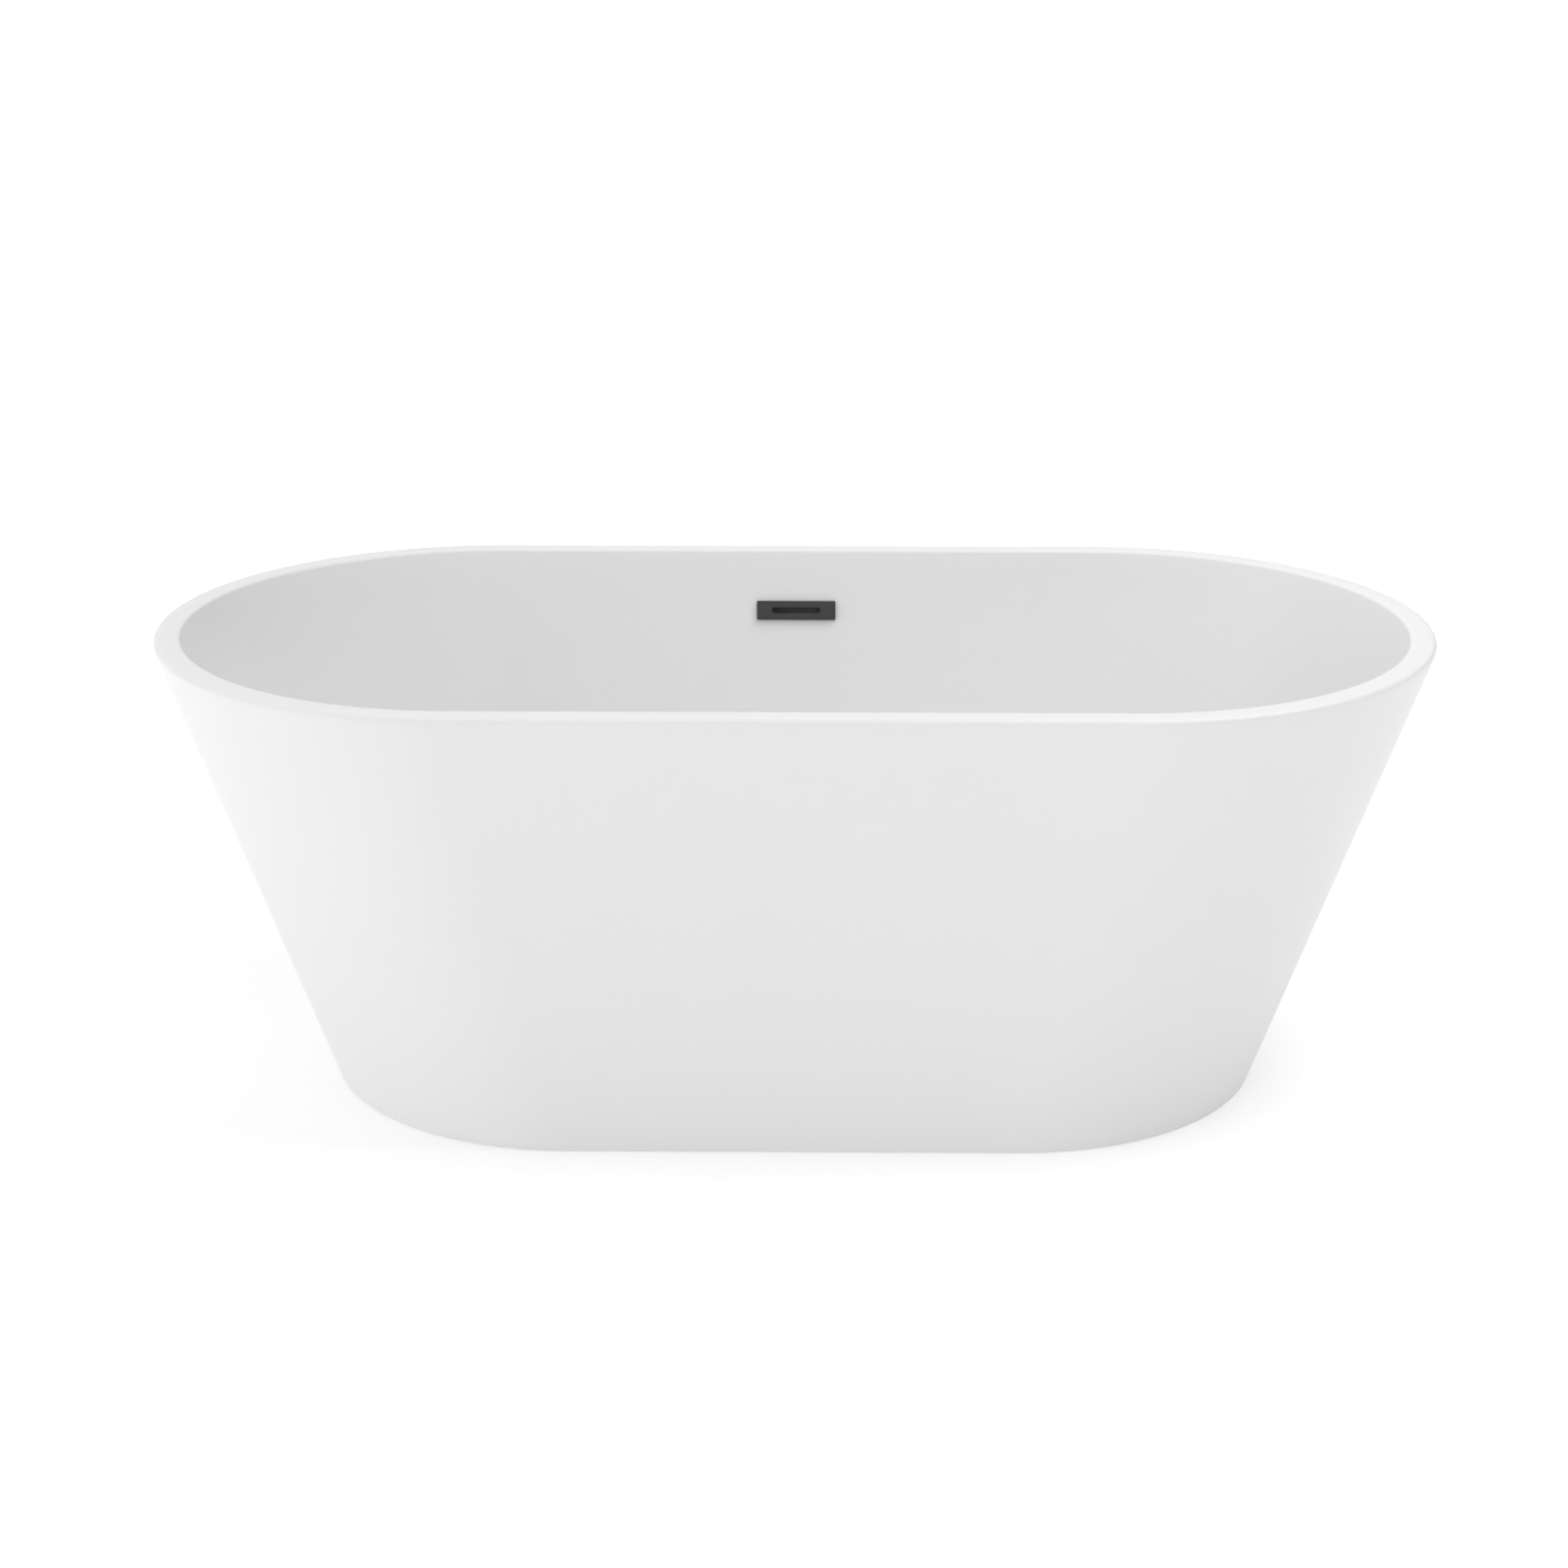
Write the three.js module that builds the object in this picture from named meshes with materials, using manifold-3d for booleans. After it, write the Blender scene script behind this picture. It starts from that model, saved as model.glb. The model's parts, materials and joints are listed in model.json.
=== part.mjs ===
// Freestanding double-skin bathtub on a steel sub-frame, with a slot overflow and a push-to-open drain.
// Millimetres, +Z up. The origin is on the floor under the middle of the tub. +X runs along the length,
// and +Y points to the long side that carries the overflow, which is called the back here.
import * as THREE from "three";
import { ParametricGeometry } from "three/addons/geometries/ParametricGeometry.js";
import { mergeVertices } from "three/addons/utils/BufferGeometryUtils.js";
import Module from "manifold-3d";

const wasm = await Module();
wasm.setup();

// ---- Driving sizes ----------------------------------------------------------------------------------
// Outside: both outlines are a rectangle with a half circle at each end.
const TUB_LENGTH = 1600;
const TUB_WIDTH = 800;
const TUB_HEIGHT = 580;
const BASE_LENGTH = 1188;
const BASE_WIDTH = 634;
const SKIRT_LIFT = 1; // the skirt's lower edge above the floor
const RIM_WIDTH = 32;
const RIM_OUTER_ROUND = 7;
const RIM_INNER_ROUND = 3;
const RIM_LIP = 14; // how far the rim's edge turns down outside

// The well that holds the water.
const FLOOR_HEIGHT = 150; // the well's floor above the ground, at the foot of its walls
const FLOOR_FALL = 4; // from there down to the drain
const FLOOR_ROUND = 95; // between floor and walls
const END_CAVITY = 60; // between the two skins at the floor's height
const SIDE_CAVITY = 98;

// Sheets and fits.
const ACRYLIC = 5;
const BASIN_FIBREGLASS = 3;
const SKIRT_FIBREGLASS = 2.5;
const GAP = 0.3; // between pieces that touch
const RUNNING = 0.3; // round a stem, stud or thread
const FIBREGLASS_TOP = 35; // below the rim, where the fibreglass stops

// Turned edges of the skirt, and the paste that holds it under the rim.
const SKIRT_TOP_FLANGE = 19;
const SKIRT_FOOT_FLANGE = 32;
const BEAD_WIDTH = 9;

// Sub-frame.
const BOARD = 15;
const BOARD_MARGIN = 6;
const RAIL = 25;
const RAIL_WALL = 2;
const RAIL_INSET = 28; // rail axis inside the board's edge
const RAIL_OVERHANG = 60; // past the cross bars
const FOOT_INSET = 194; // foot axis inside the skirt's end
const FOOT_FROM_BAR_END = 50;
const BLOCK_LENGTH = 60;
const BLOCK_HEIGHT = 54;
const BLOCK_DEPTH = 26; // at the skirt's innermost point along the block
const BRACKET = 3;
const BRACKET_WIDTH = 30;
const BRACKET_LEG = 46;
const BAR_END_CLEARANCE = 4;

// Fasteners between rails and board.
const SCREW_RADIUS = 2.5;
const SCREW_HEAD = 9; // across flats
const SCREW_HEAD_HEIGHT = 4;
const SCREW_BITE = 10;
const SCREW_STATION = 300; // from the middle of the tub

// Levelling feet.
const PAD_RADIUS = 25;
const PAD_HEIGHT = 12;
const PAD_SOLE = 5;
const STUD_RADIUS = 5;
const STUD_COLLAR = 17; // across flats
const STUD_COLLAR_HEIGHT = 6;
const NUT_FLATS = 17;
const WELD_NUT_HEIGHT = 10;
const JAM_NUT_HEIGHT = 8;

// Overflow.
const OVERFLOW_DROP = 78; // rim to the middle of the cover
const COVER_LENGTH = 107;
const COVER_HEIGHT = 26;
const COVER_DEPTH = 5;
const COVER_FACE = 2;
const COVER_SIDE = 1.5;
const SLOT_LENGTH = 66;
const SLOT_HEIGHT = 8;
const WINDOW_MARGIN = 2; // each opening behind the slot is this much larger all round
const CARRIER = 2.2;
const OVERFLOW_SCREW_RADIUS = 2;
const OVERFLOW_SCREW_HEAD = 3.6;
const OVERFLOW_SCREW_STATION = 44;
const OVERFLOW_SEAL = 2;
const HOUSING_LENGTH = 104;
const HOUSING_DEPTH = 14;
const HOUSING_WALL = 2;
const HOUSING_CORNER = 3;
const HOPPER_HEIGHT = 12;
const HOPPER_CLEARANCE = 1; // to the skirt's inner face
const SOCKET_LENGTH = 16;
const SOCKET_WALL = 1.9;
const PIPE_RADIUS = 11;
const PIPE_WALL = 2;
const PIPE_BEND = 55;
const PIPE_STANDOFF = 16; // from the skirt, where the pipe turns in under the well
const PIPE_BELOW_RAIL = 10;
const PIPE_KINK = 150; // below the overflow, where the pipe starts down

// Drain.
const RECESS_DEPTH = 2;
const RECESS_CLEARANCE = 2;
const FLANGE_RADIUS = 35;
const FLANGE = 3;
const THREAD_RADIUS = 24;
const THREAD_WALL = 3.5;
const THREAD_LENGTH = 50; // below the flange
const FLOOR_HOLE_CLEARANCE = 2;
const TOP_GASKET = 1.2;
const WASHER_RADIUS = 34;
const WASHER = 4;
const LOCK_NUT_FLATS = 62;
const LOCK_NUT_HEIGHT = 8;
const BOARD_HOLE_RADIUS = 50;
const SPOKE_WIDTH = 3;
const SPOKE_HEIGHT = 6;
const SPOKE_DROP = 24; // flange top to spoke top
const SPOKES = 3;
const HUB_WALL = 3;
const CARTRIDGE_RADIUS = 7;
const CARTRIDGE_WALL = 1.5;
const CARTRIDGE_END = 2;
const CARTRIDGE_ABOVE_SPOKES = 16;
const CARTRIDGE_LENGTH = 33;
const STEM_RADIUS = 2;
const STEM_COLLAR_HEIGHT = 2.7;
const STOPPER_TRAVEL = 9;
const CAP_RADIUS = 33;
const CAP_EDGE = 2.2;
const CAP_CROWN = 2;
const CAP_SEAL = 1.6;
const CAP_SEAL_RADIUS = 27;
const CAP_SEAL_WIDTH = 4;
const SPRING_WIRE = 0.7;
const SPRING_TURNS = 5;
const SPRING_STEPS = 8; // per turn
const TEE_SOCKET_WALL = 4.6;
const TEE_WALL = 4;
const TEE_BORE = 20;
const PORT_WALL = 3.7;
const PORT_REACH = 62; // from the drain's axis to the port's mouth
const PORT_SHOULDER = 26;
const PORT_NUT_WALL = 4;
const PORT_ABOVE_NUT = 2;
const TAILPIECE_WALL = 2;
const TAILPIECE_BELOW_TEE = 20;
const TAILPIECE_BITE = 10;
const TAIL_NUT_RADIUS = 28;
const TAIL_NUT_BITE = 9;
const TAIL_NUT_END = 4;

// How finely round things are divided.
const END_STEPS = 18; // per half circle of the tub's outline
const ROUND_STEPS = 7;
const EDGE_STEPS = 3;
const SIDES = 24;
const FINE_SIDES = 32;
const SMALL_SIDES = 16;
const CORNER_SEGMENTS = 2; // half the number of facets in each quarter circle of an extruded outline
const PIPE_STEPS = 24;
const OVERCUT = 5; // a cutting tool runs this far past the face it opens

// ---- Finishes ---------------------------------------------------------------------------------------
const FINISHES = {
  acrylic: { color: 0xf4f4f2, roughness: 0.32, metalness: 0 },
  fibreglass: { color: 0xd9d3b8, roughness: 0.75, metalness: 0 },
  paste: { color: 0xe6e4dc, roughness: 0.6, metalness: 0 },
  plywood: { color: 0xc69a63, roughness: 0.8, metalness: 0 },
  galvanised: { color: 0xa9adb0, roughness: 0.45, metalness: 0.9 },
  zinc: { color: 0xbfc2c4, roughness: 0.35, metalness: 1 },
  rubber: { color: 0x1c1c1c, roughness: 0.9, metalness: 0 },
  black: { color: 0x464646, roughness: 0.5, metalness: 0.2 },
  pvc: { color: 0xe9eaea, roughness: 0.45, metalness: 0 },
  brass: { color: 0xc9a24f, roughness: 0.3, metalness: 1 },
};

// ---- Solids -----------------------------------------------------------------------------------------
// A closed geometry as a solid. Triangles that have collapsed onto a line are left out.
function asSolid(geometry) {
  const loose = geometry.index ? geometry.toNonIndexed() : geometry;
  const bare = new THREE.BufferGeometry();
  bare.setAttribute("position", loose.getAttribute("position"));
  const merged = mergeVertices(bare, 1e-3);
  const corners = merged.index.array;
  const kept = [];
  for (let i = 0; i < corners.length; i += 3) {
    const [a, b, c] = corners.slice(i, i + 3);
    if (a !== b && b !== c && c !== a) kept.push(a, b, c);
  }
  const vertProperties = merged.getAttribute("position").array;
  return new wasm.Manifold(new wasm.Mesh({ numProp: 3, vertProperties, triVerts: new Uint32Array(kept) }));
}

function asGeometry(solid) {
  const mesh = solid.getMesh();
  const geometry = new THREE.BufferGeometry();
  geometry.setAttribute("position", new THREE.BufferAttribute(mesh.vertProperties, 3));
  geometry.setIndex(new THREE.BufferAttribute(mesh.triVerts, 1));
  geometry.computeVertexNormals();
  return geometry;
}

function cut(geometry, ...tools) {
  return asGeometry(tools.reduce((rest, tool) => rest.subtract(asSolid(tool)), asSolid(geometry)));
}

function join(...pieces) {
  return asGeometry(pieces.map(asSolid).reduce((whole, piece) => whole.add(piece)));
}

function clip(geometry, limit) {
  return asGeometry(asSolid(geometry).intersect(asSolid(limit)));
}

function box(length, width, low, high) {
  return new THREE.BoxGeometry(length, width, high - low).translate(0, 0, (low + high) / 2);
}

function disc(radius, low, high, sides = SIDES) {
  return new THREE.CylinderGeometry(radius, radius, high - low, sides)
    .rotateX(Math.PI / 2)
    .translate(0, 0, (low + high) / 2);
}

// A profile of [radius, height] points turned about Z. It runs anticlockwise, out along its underside first.
function turned(profile, sides = SIDES) {
  const points = profile.map(([radius, height]) => new THREE.Vector2(radius, height));
  return new THREE.LatheGeometry(points, sides).rotateX(Math.PI / 2);
}

function tube(outer, inner, low, high, sides = SIDES) {
  const corners = [[inner, low], [outer, low], [outer, high], [inner, high], [inner, low]];
  return turned(corners, sides);
}

function hexagon(flats, low, high) {
  return disc(flats / Math.sqrt(3), low, high, 6);
}

// A flat piece with an outline and holes, between two heights.
function plate(outline, low, high, holes = []) {
  outline.holes.push(...holes);
  const settings = { depth: high - low, bevelEnabled: false, curveSegments: CORNER_SEGMENTS };
  return new THREE.ExtrudeGeometry(outline, settings).translate(0, 0, low);
}

// A rectangle centred on the origin whose corners have the given radius.
function roundedRectangle(length, height, radius) {
  const outline = new THREE.Shape();
  const x = length / 2 - radius;
  const y = height / 2 - radius;
  const quarter = Math.PI / 2;
  outline.absarc(x, -y, radius, -quarter, 0);
  outline.absarc(x, y, radius, 0, quarter);
  outline.absarc(-x, y, radius, quarter, 2 * quarter);
  outline.absarc(-x, -y, radius, 2 * quarter, 3 * quarter);
  outline.closePath();
  return outline;
}

function roundEnded(length, height) {
  return roundedRectangle(length, height, height / 2);
}

function circle(radius, x = 0, y = 0) {
  const outline = new THREE.Shape();
  const quarter = Math.PI / 2;
  for (let i = 0; i < 4; i += 1) outline.absarc(x, y, radius, i * quarter, (i + 1) * quarter);
  return outline;
}

// A surface through a stack of outlines, each a rectangle with half-circle ends. Its stack runs outwards along
// the underside, up the outside, and back. It closes on itself or ends at two points on the axis.
function lofted(rings) {
  const perEnd = END_STEPS + 1;
  const slices = 2 * perEnd;
  const stacks = rings.length - 1;
  const place = (u, v, point) => {
    const { halfLength, halfWidth, z } = rings[Math.round(v * stacks)];
    const step = Math.round(u * slices) % slices;
    const side = step < perEnd ? 1 : -1;
    const angle = (Math.PI * (step % perEnd)) / END_STEPS - Math.PI / 2;
    const straight = halfLength - halfWidth;
    point.set(side * (straight + halfWidth * Math.cos(angle)), side * halfWidth * Math.sin(angle), z);
  };
  return new ParametricGeometry(place, slices, stacks);
}

// ---- Walls of the tub -------------------------------------------------------------------------------
// The outline at height z of a wall that runs straight from low to high, moved outwards square to the wall.
function wallOutline(low, high, z, outwards) {
  const rise = high.z - low.z;
  const at = (side) => {
    const run = high[side] - low[side];
    return low[side] + (run * (z - low.z) + outwards * Math.hypot(run, rise)) / rise;
  };
  return { halfLength: at("halfLength"), halfWidth: at("halfWidth"), z };
}

const skirtFoot = { halfLength: BASE_LENGTH / 2, halfWidth: BASE_WIDTH / 2, z: SKIRT_LIFT };
const skirtTop = { halfLength: TUB_LENGTH / 2, halfWidth: TUB_WIDTH / 2, z: TUB_HEIGHT - RIM_OUTER_ROUND };

function skirtWall(z, inwards = 0) {
  return wallOutline(skirtFoot, skirtTop, z, -inwards);
}

const skirtAtFloor = skirtWall(FLOOR_HEIGHT);
const wellFoot = {
  halfLength: skirtAtFloor.halfLength - END_CAVITY,
  halfWidth: skirtAtFloor.halfWidth - SIDE_CAVITY,
  z: FLOOR_HEIGHT,
};
const wellTop = inset(skirtTop, RIM_WIDTH, TUB_HEIGHT);

function wellWall(z, outwards = 0) {
  return wallOutline(wellFoot, wellTop, z, outwards);
}

// An outline moved level, in by a distance, and to another height.
function inset(outline, distance, z = outline.z) {
  return { halfLength: outline.halfLength - distance, halfWidth: outline.halfWidth - distance, z };
}

// Outlines from the middle of the well's floor out through its rounded foot and up the wall to top, on the
// face that lies the given distance outside the well. A dished floor falls to the drain, a level one doesn't.
function bowlFace(outwards, top, dished) {
  const middleZ = FLOOR_HEIGHT - FLOOR_FALL - outwards;
  const footZ = dished ? middleZ + FLOOR_FALL : middleZ;
  const reach = FLOOR_ROUND + outwards;
  const vector = ({ halfLength, halfWidth, z }) => new THREE.Vector3(halfLength, halfWidth, z);
  const corner = wellWall(footZ, outwards);
  const wallStart = vector(wellWall(footZ + reach, outwards));
  const floorEnd = vector(inset(corner, reach));
  const handle = 0.58;
  const rounding = new THREE.CubicBezierCurve3(
    floorEnd,
    floorEnd.clone().lerp(vector(corner), handle),
    wallStart.clone().lerp(vector(corner), handle),
    wallStart,
  );
  const foot = rounding.getPoints(ROUND_STEPS).map((p) => ({ halfLength: p.x, halfWidth: p.y, z: p.z }));
  const around = FLANGE_RADIUS + RECESS_CLEARANCE + OVERCUT;
  const middle = { halfLength: 0, halfWidth: 0, z: middleZ };
  return [middle, { halfLength: around, halfWidth: around, z: middleZ }, ...foot, wellWall(top, outwards)];
}

// A quarter round between two faces, as outlines: from the first point's tangent to the second's.
function quarterRound(from, corner, to) {
  const share = (a, b, c, t) => (1 - t) * (1 - t) * a + 2 * t * (1 - t) * b + t * t * c;
  return Array.from({ length: EDGE_STEPS + 1 }, (_, step) => {
    const t = step / EDGE_STEPS;
    const at = (key) => share(from[key], corner[key], to[key], t);
    return { halfLength: at("halfLength"), halfWidth: at("halfWidth"), z: at("z") };
  });
}

// ---- Heights and places that several pieces share ---------------------------------------------------
const basinSkin = ACRYLIC + GAP + BASIN_FIBREGLASS;
const skirtSkin = ACRYLIC + GAP + SKIRT_FIBREGLASS;
const drainFloorZ = FLOOR_HEIGHT - FLOOR_FALL;
const boardTop = drainFloorZ - basinSkin - GAP;
const boardBottom = boardTop - BOARD;
const railTop = boardBottom - GAP;
const railBottom = railTop - RAIL;
const barTop = railBottom - GAP;
const barBottom = barTop - RAIL;
const fibreglassTop = TUB_HEIGHT - FIBREGLASS_TOP;

const lipBottom = TUB_HEIGHT - RIM_LIP;
const skirtUpperEdge = lipBottom - GAP;

const boardOutline = inset(bowlFace(basinSkin, fibreglassTop, false)[2], BOARD_MARGIN);
const railY = boardOutline.halfWidth - RAIL_INSET;
const barX = BASE_LENGTH / 2 - FOOT_INSET;

// The skirt's inner face at height z, as a distance from the long axis, at a place along the tub.
function skirtInsideY(x, z) {
  const { halfLength, halfWidth } = skirtWall(z, skirtSkin);
  const beyond = Math.max(0, x - (halfLength - halfWidth));
  return Math.sqrt(halfWidth ** 2 - beyond ** 2);
}

const blockBottom = barBottom - BLOCK_HEIGHT / 4;
const blockFaceY = skirtInsideY(barX, blockBottom) - BLOCK_DEPTH;
const barHalfLength = blockFaceY - GAP - BRACKET - BAR_END_CLEARANCE;
const footY = barHalfLength - FOOT_FROM_BAR_END;

const gasketBottom = drainFloorZ - RECESS_DEPTH + GAP;
const flangeBottom = gasketBottom + TOP_GASKET + GAP;
const flangeTop = flangeBottom + FLANGE;
const waterRadius = THREAD_RADIUS - THREAD_WALL;
const threadBottom = flangeBottom - THREAD_LENGTH;
const washerTop = drainFloorZ - basinSkin - GAP;
const lockNutTop = washerTop - WASHER - GAP;
const lockNutBottom = lockNutTop - LOCK_NUT_HEIGHT;
const spokeTop = flangeTop - SPOKE_DROP;
const spokeBottom = spokeTop - SPOKE_HEIGHT;
const cartridgeTop = spokeTop + CARTRIDGE_ABOVE_SPOKES;
const cartridgeBottom = cartridgeTop - CARTRIDGE_LENGTH;
const cartridgeBore = CARTRIDGE_RADIUS - CARTRIDGE_WALL;
const stemCollarBottom = cartridgeTop - CARTRIDGE_END - GAP - STOPPER_TRAVEL - STEM_COLLAR_HEIGHT;
const capSealBottom = flangeTop + GAP;
const capBottom = capSealBottom + CAP_SEAL + GAP;
const portZ = railBottom - PIPE_BELOW_RAIL - PIPE_RADIUS;
const portRadius = PIPE_RADIUS + RUNNING + PORT_WALL;
const teeBottom = portZ - portRadius - PORT_ABOVE_NUT - TAIL_NUT_BITE;
const teeRadius = TEE_BORE + TEE_WALL;
const tailpieceRadius = TEE_BORE - GAP;

// The overflow's own frame: its origin on the well's back wall, +X along the tub, +Y up the wall, +Z out of it.
const overflowZ = TUB_HEIGHT - OVERFLOW_DROP;
const wallLean = Math.atan2(wellTop.halfWidth - wellFoot.halfWidth, TUB_HEIGHT - FLOOR_HEIGHT);
const overflow = new THREE.Group();
overflow.position.set(0, wellWall(overflowZ).halfWidth, overflowZ);
overflow.rotation.x = Math.PI / 2 - wallLean;
overflow.updateMatrix();

const wallBack = -basinSkin;
const sealBack = wallBack - GAP - OVERFLOW_SEAL;
const housingFront = sealBack - GAP;
const housingBack = housingFront - HOUSING_DEPTH;
const windowLength = SLOT_LENGTH + 2 * WINDOW_MARGIN;
const windowHeight = SLOT_HEIGHT + 2 * WINDOW_MARGIN;
const housingHeight = windowHeight + 2 * WINDOW_MARGIN + 5 * HOUSING_WALL;
const socketRadius = PIPE_RADIUS + RUNNING + SOCKET_WALL;
const socketZ = wallBack - GAP - RUNNING - socketRadius;
const hopperBack = socketZ - socketRadius;

// The hopper over the socket is the deepest part of the housing. It starts as high as the cavity there allows,
// which is where the skirt's inner face passes its back corner with the stated clearance.
function hopperLimit() {
  const skirtLean = skirtInsideY(0, overflowZ) - skirtInsideY(0, overflowZ - 1);
  const [lean, upright] = [Math.sin(wallLean), Math.cos(wallLean)];
  const across = wellWall(overflowZ).halfWidth - skirtInsideY(0, overflowZ);
  const depth = (hopperBack - HOPPER_CLEARANCE) * (upright + skirtLean * lean);
  return (depth - across) / (lean - skirtLean * upright);
}

const hopperTop = Math.min(-housingHeight / 2 + HOUSING_WALL, hopperLimit());
const socketTop = hopperTop - HOPPER_HEIGHT;
const socketBottom = socketTop - SOCKET_LENGTH;

// ---- Mesh maker -------------------------------------------------------------------------------------
function piece(name, finish, geometry) {
  const mesh = new THREE.Mesh(asGeometry(asSolid(geometry)), new THREE.MeshStandardMaterial(FINISHES[finish]));
  mesh.name = name;
  return mesh;
}

function group(x, y, z, ...children) {
  const holder = new THREE.Group();
  holder.position.set(x, y, z);
  holder.add(...children);
  return holder;
}

const SIDE_NAMES = { "-1": "left", 1: "right" };
const FACE_NAMES = { "-1": "front", 1: "back" };

// ---- Shells -----------------------------------------------------------------------------------------
// Everything the overflow takes out of the wall: the water's window and a hole for each screw.
function overflowCutters() {
  const cutters = [plate(roundEnded(windowLength, windowHeight), wallBack - OVERCUT, OVERCUT)];
  for (const side of [-1, 1]) {
    const hole = disc(OVERFLOW_SCREW_RADIUS + RUNNING, wallBack - OVERCUT, OVERCUT, SMALL_SIDES);
    cutters.push(hole.translate(side * OVERFLOW_SCREW_STATION, 0, 0));
  }
  return cutters.map((cutter) => cutter.applyMatrix4(overflow.matrix));
}

function drainHole() {
  return disc(THREAD_RADIUS + FLOOR_HOLE_CLEARANCE, boardBottom, FLOOR_HEIGHT + OVERCUT, FINE_SIDES);
}

function basinShell() {
  const outside = bowlFace(ACRYLIC, TUB_HEIGHT - ACRYLIC, true);
  const lipInside = skirtWall(lipBottom, ACRYLIC);
  const rimUnderside = [inset(skirtTop, ACRYLIC, TUB_HEIGHT - ACRYLIC), lipInside, skirtWall(lipBottom)];
  const outerEdge = quarterRound(
    skirtTop,
    { ...skirtTop, z: TUB_HEIGHT },
    inset(skirtTop, RIM_OUTER_ROUND, TUB_HEIGHT),
  );
  const innerEdge = quarterRound(
    inset(wellTop, -RIM_INNER_ROUND),
    wellTop,
    wellWall(TUB_HEIGHT - RIM_INNER_ROUND),
  );
  const inside = bowlFace(0, TUB_HEIGHT - RIM_INNER_ROUND, true).reverse().slice(1);
  const shell = lofted([...outside, ...rimUnderside, ...outerEdge, ...innerEdge, ...inside]);
  const recess = disc(FLANGE_RADIUS + RECESS_CLEARANCE, drainFloorZ - RECESS_DEPTH, FLOOR_HEIGHT, FINE_SIDES);
  return cut(shell, recess, drainHole(), ...overflowCutters());
}

function basinLaminate() {
  const outside = bowlFace(basinSkin, fibreglassTop, false);
  const inside = bowlFace(ACRYLIC + GAP, fibreglassTop, true).reverse();
  return cut(lofted([...outside, ...inside]), drainHole(), ...overflowCutters());
}

// The skirt's wall with its two turned-in flanges, in section a square C that opens inwards.
function skirtShell() {
  const footZ = SKIRT_LIFT + ACRYLIC;
  const topZ = skirtUpperEdge - ACRYLIC;
  const footEdge = inset(skirtFoot, SKIRT_FOOT_FLANGE);
  const topEdge = inset(skirtWall(skirtUpperEdge), SKIRT_TOP_FLANGE);
  return lofted([
    footEdge,
    skirtFoot,
    skirtWall(skirtUpperEdge),
    topEdge,
    { ...topEdge, z: topZ },
    skirtWall(topZ, ACRYLIC),
    skirtWall(footZ, ACRYLIC),
    { ...footEdge, z: footZ },
    footEdge,
  ]);
}

function skirtLaminate() {
  const low = SKIRT_LIFT + ACRYLIC + GAP;
  const inner = ACRYLIC + GAP + SKIRT_FIBREGLASS;
  const face = (z, inwards) => skirtWall(z, inwards);
  const outline = [face(low, inner), face(low, ACRYLIC + GAP), face(fibreglassTop, ACRYLIC + GAP)];
  return lofted([...outline, face(fibreglassTop, inner), face(low, inner)]);
}

function rimBondBead() {
  const low = skirtUpperEdge + GAP;
  const high = TUB_HEIGHT - ACRYLIC - GAP;
  const outer = inset(skirtWall(low, ACRYLIC), GAP);
  const inner = inset(outer, BEAD_WIDTH);
  return lofted([inner, outer, { ...outer, z: high }, { ...inner, z: high }, inner]);
}

function baseBoard() {
  const holes = [circle(BOARD_HOLE_RADIUS)];
  for (const side of [-1, 1]) {
    for (const face of [-1, 1]) {
      holes.push(circle(SCREW_RADIUS + RUNNING, side * SCREW_STATION, face * railY));
    }
  }
  const outline = roundEnded(2 * boardOutline.halfLength, 2 * boardOutline.halfWidth);
  return plate(outline, boardBottom, boardTop, holes);
}

const shells = [
  piece("basin_shell", "acrylic", basinShell()),
  piece("basin_laminate", "fibreglass", basinLaminate()),
  piece("skirt_shell", "acrylic", skirtShell()),
  piece("skirt_laminate", "fibreglass", skirtLaminate()),
  piece("rim_bond_bead", "paste", rimBondBead()),
  piece("base_board", "plywood", baseBoard()),
];

// ---- Sub-frame --------------------------------------------------------------------------------------
// A length of square tube along X, its top face at z = 0.
function squareTube(length) {
  const inner = RAIL - 2 * RAIL_WALL;
  return cut(box(length, RAIL, -RAIL, 0), box(length + 2 * OVERCUT, inner, RAIL_WALL - RAIL, -RAIL_WALL));
}

function rail() {
  const bolts = [-1, 1].map((side) => {
    return disc(SCREW_RADIUS + RUNNING, -RAIL - OVERCUT, OVERCUT, SMALL_SIDES).translate(side * SCREW_STATION, 0, 0);
  });
  return cut(squareTube(2 * (barX + RAIL_OVERHANG)), ...bolts);
}

// A cross bar lies along Y; each foot's stud rises into it through its lower wall.
function crossBar() {
  const bar = squareTube(2 * barHalfLength).rotateZ(Math.PI / 2);
  const holes = [-1, 1].map((face) => {
    const hole = disc(STUD_RADIUS + 2 * RUNNING, -RAIL - OVERCUT, -RAIL / 2, SMALL_SIDES);
    return hole.translate(0, face * footY, 0);
  });
  return cut(bar, ...holes);
}

// A hex-headed screw up through a rail and into the board, from its head's underside at z = 0.
function boardScrew() {
  const tip = SCREW_HEAD_HEIGHT + GAP + RAIL + GAP + SCREW_BITE;
  return join(
    hexagon(SCREW_HEAD, 0, SCREW_HEAD_HEIGHT),
    disc(SCREW_RADIUS, SCREW_HEAD_HEIGHT / 2, tip, SMALL_SIDES),
  );
}

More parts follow.
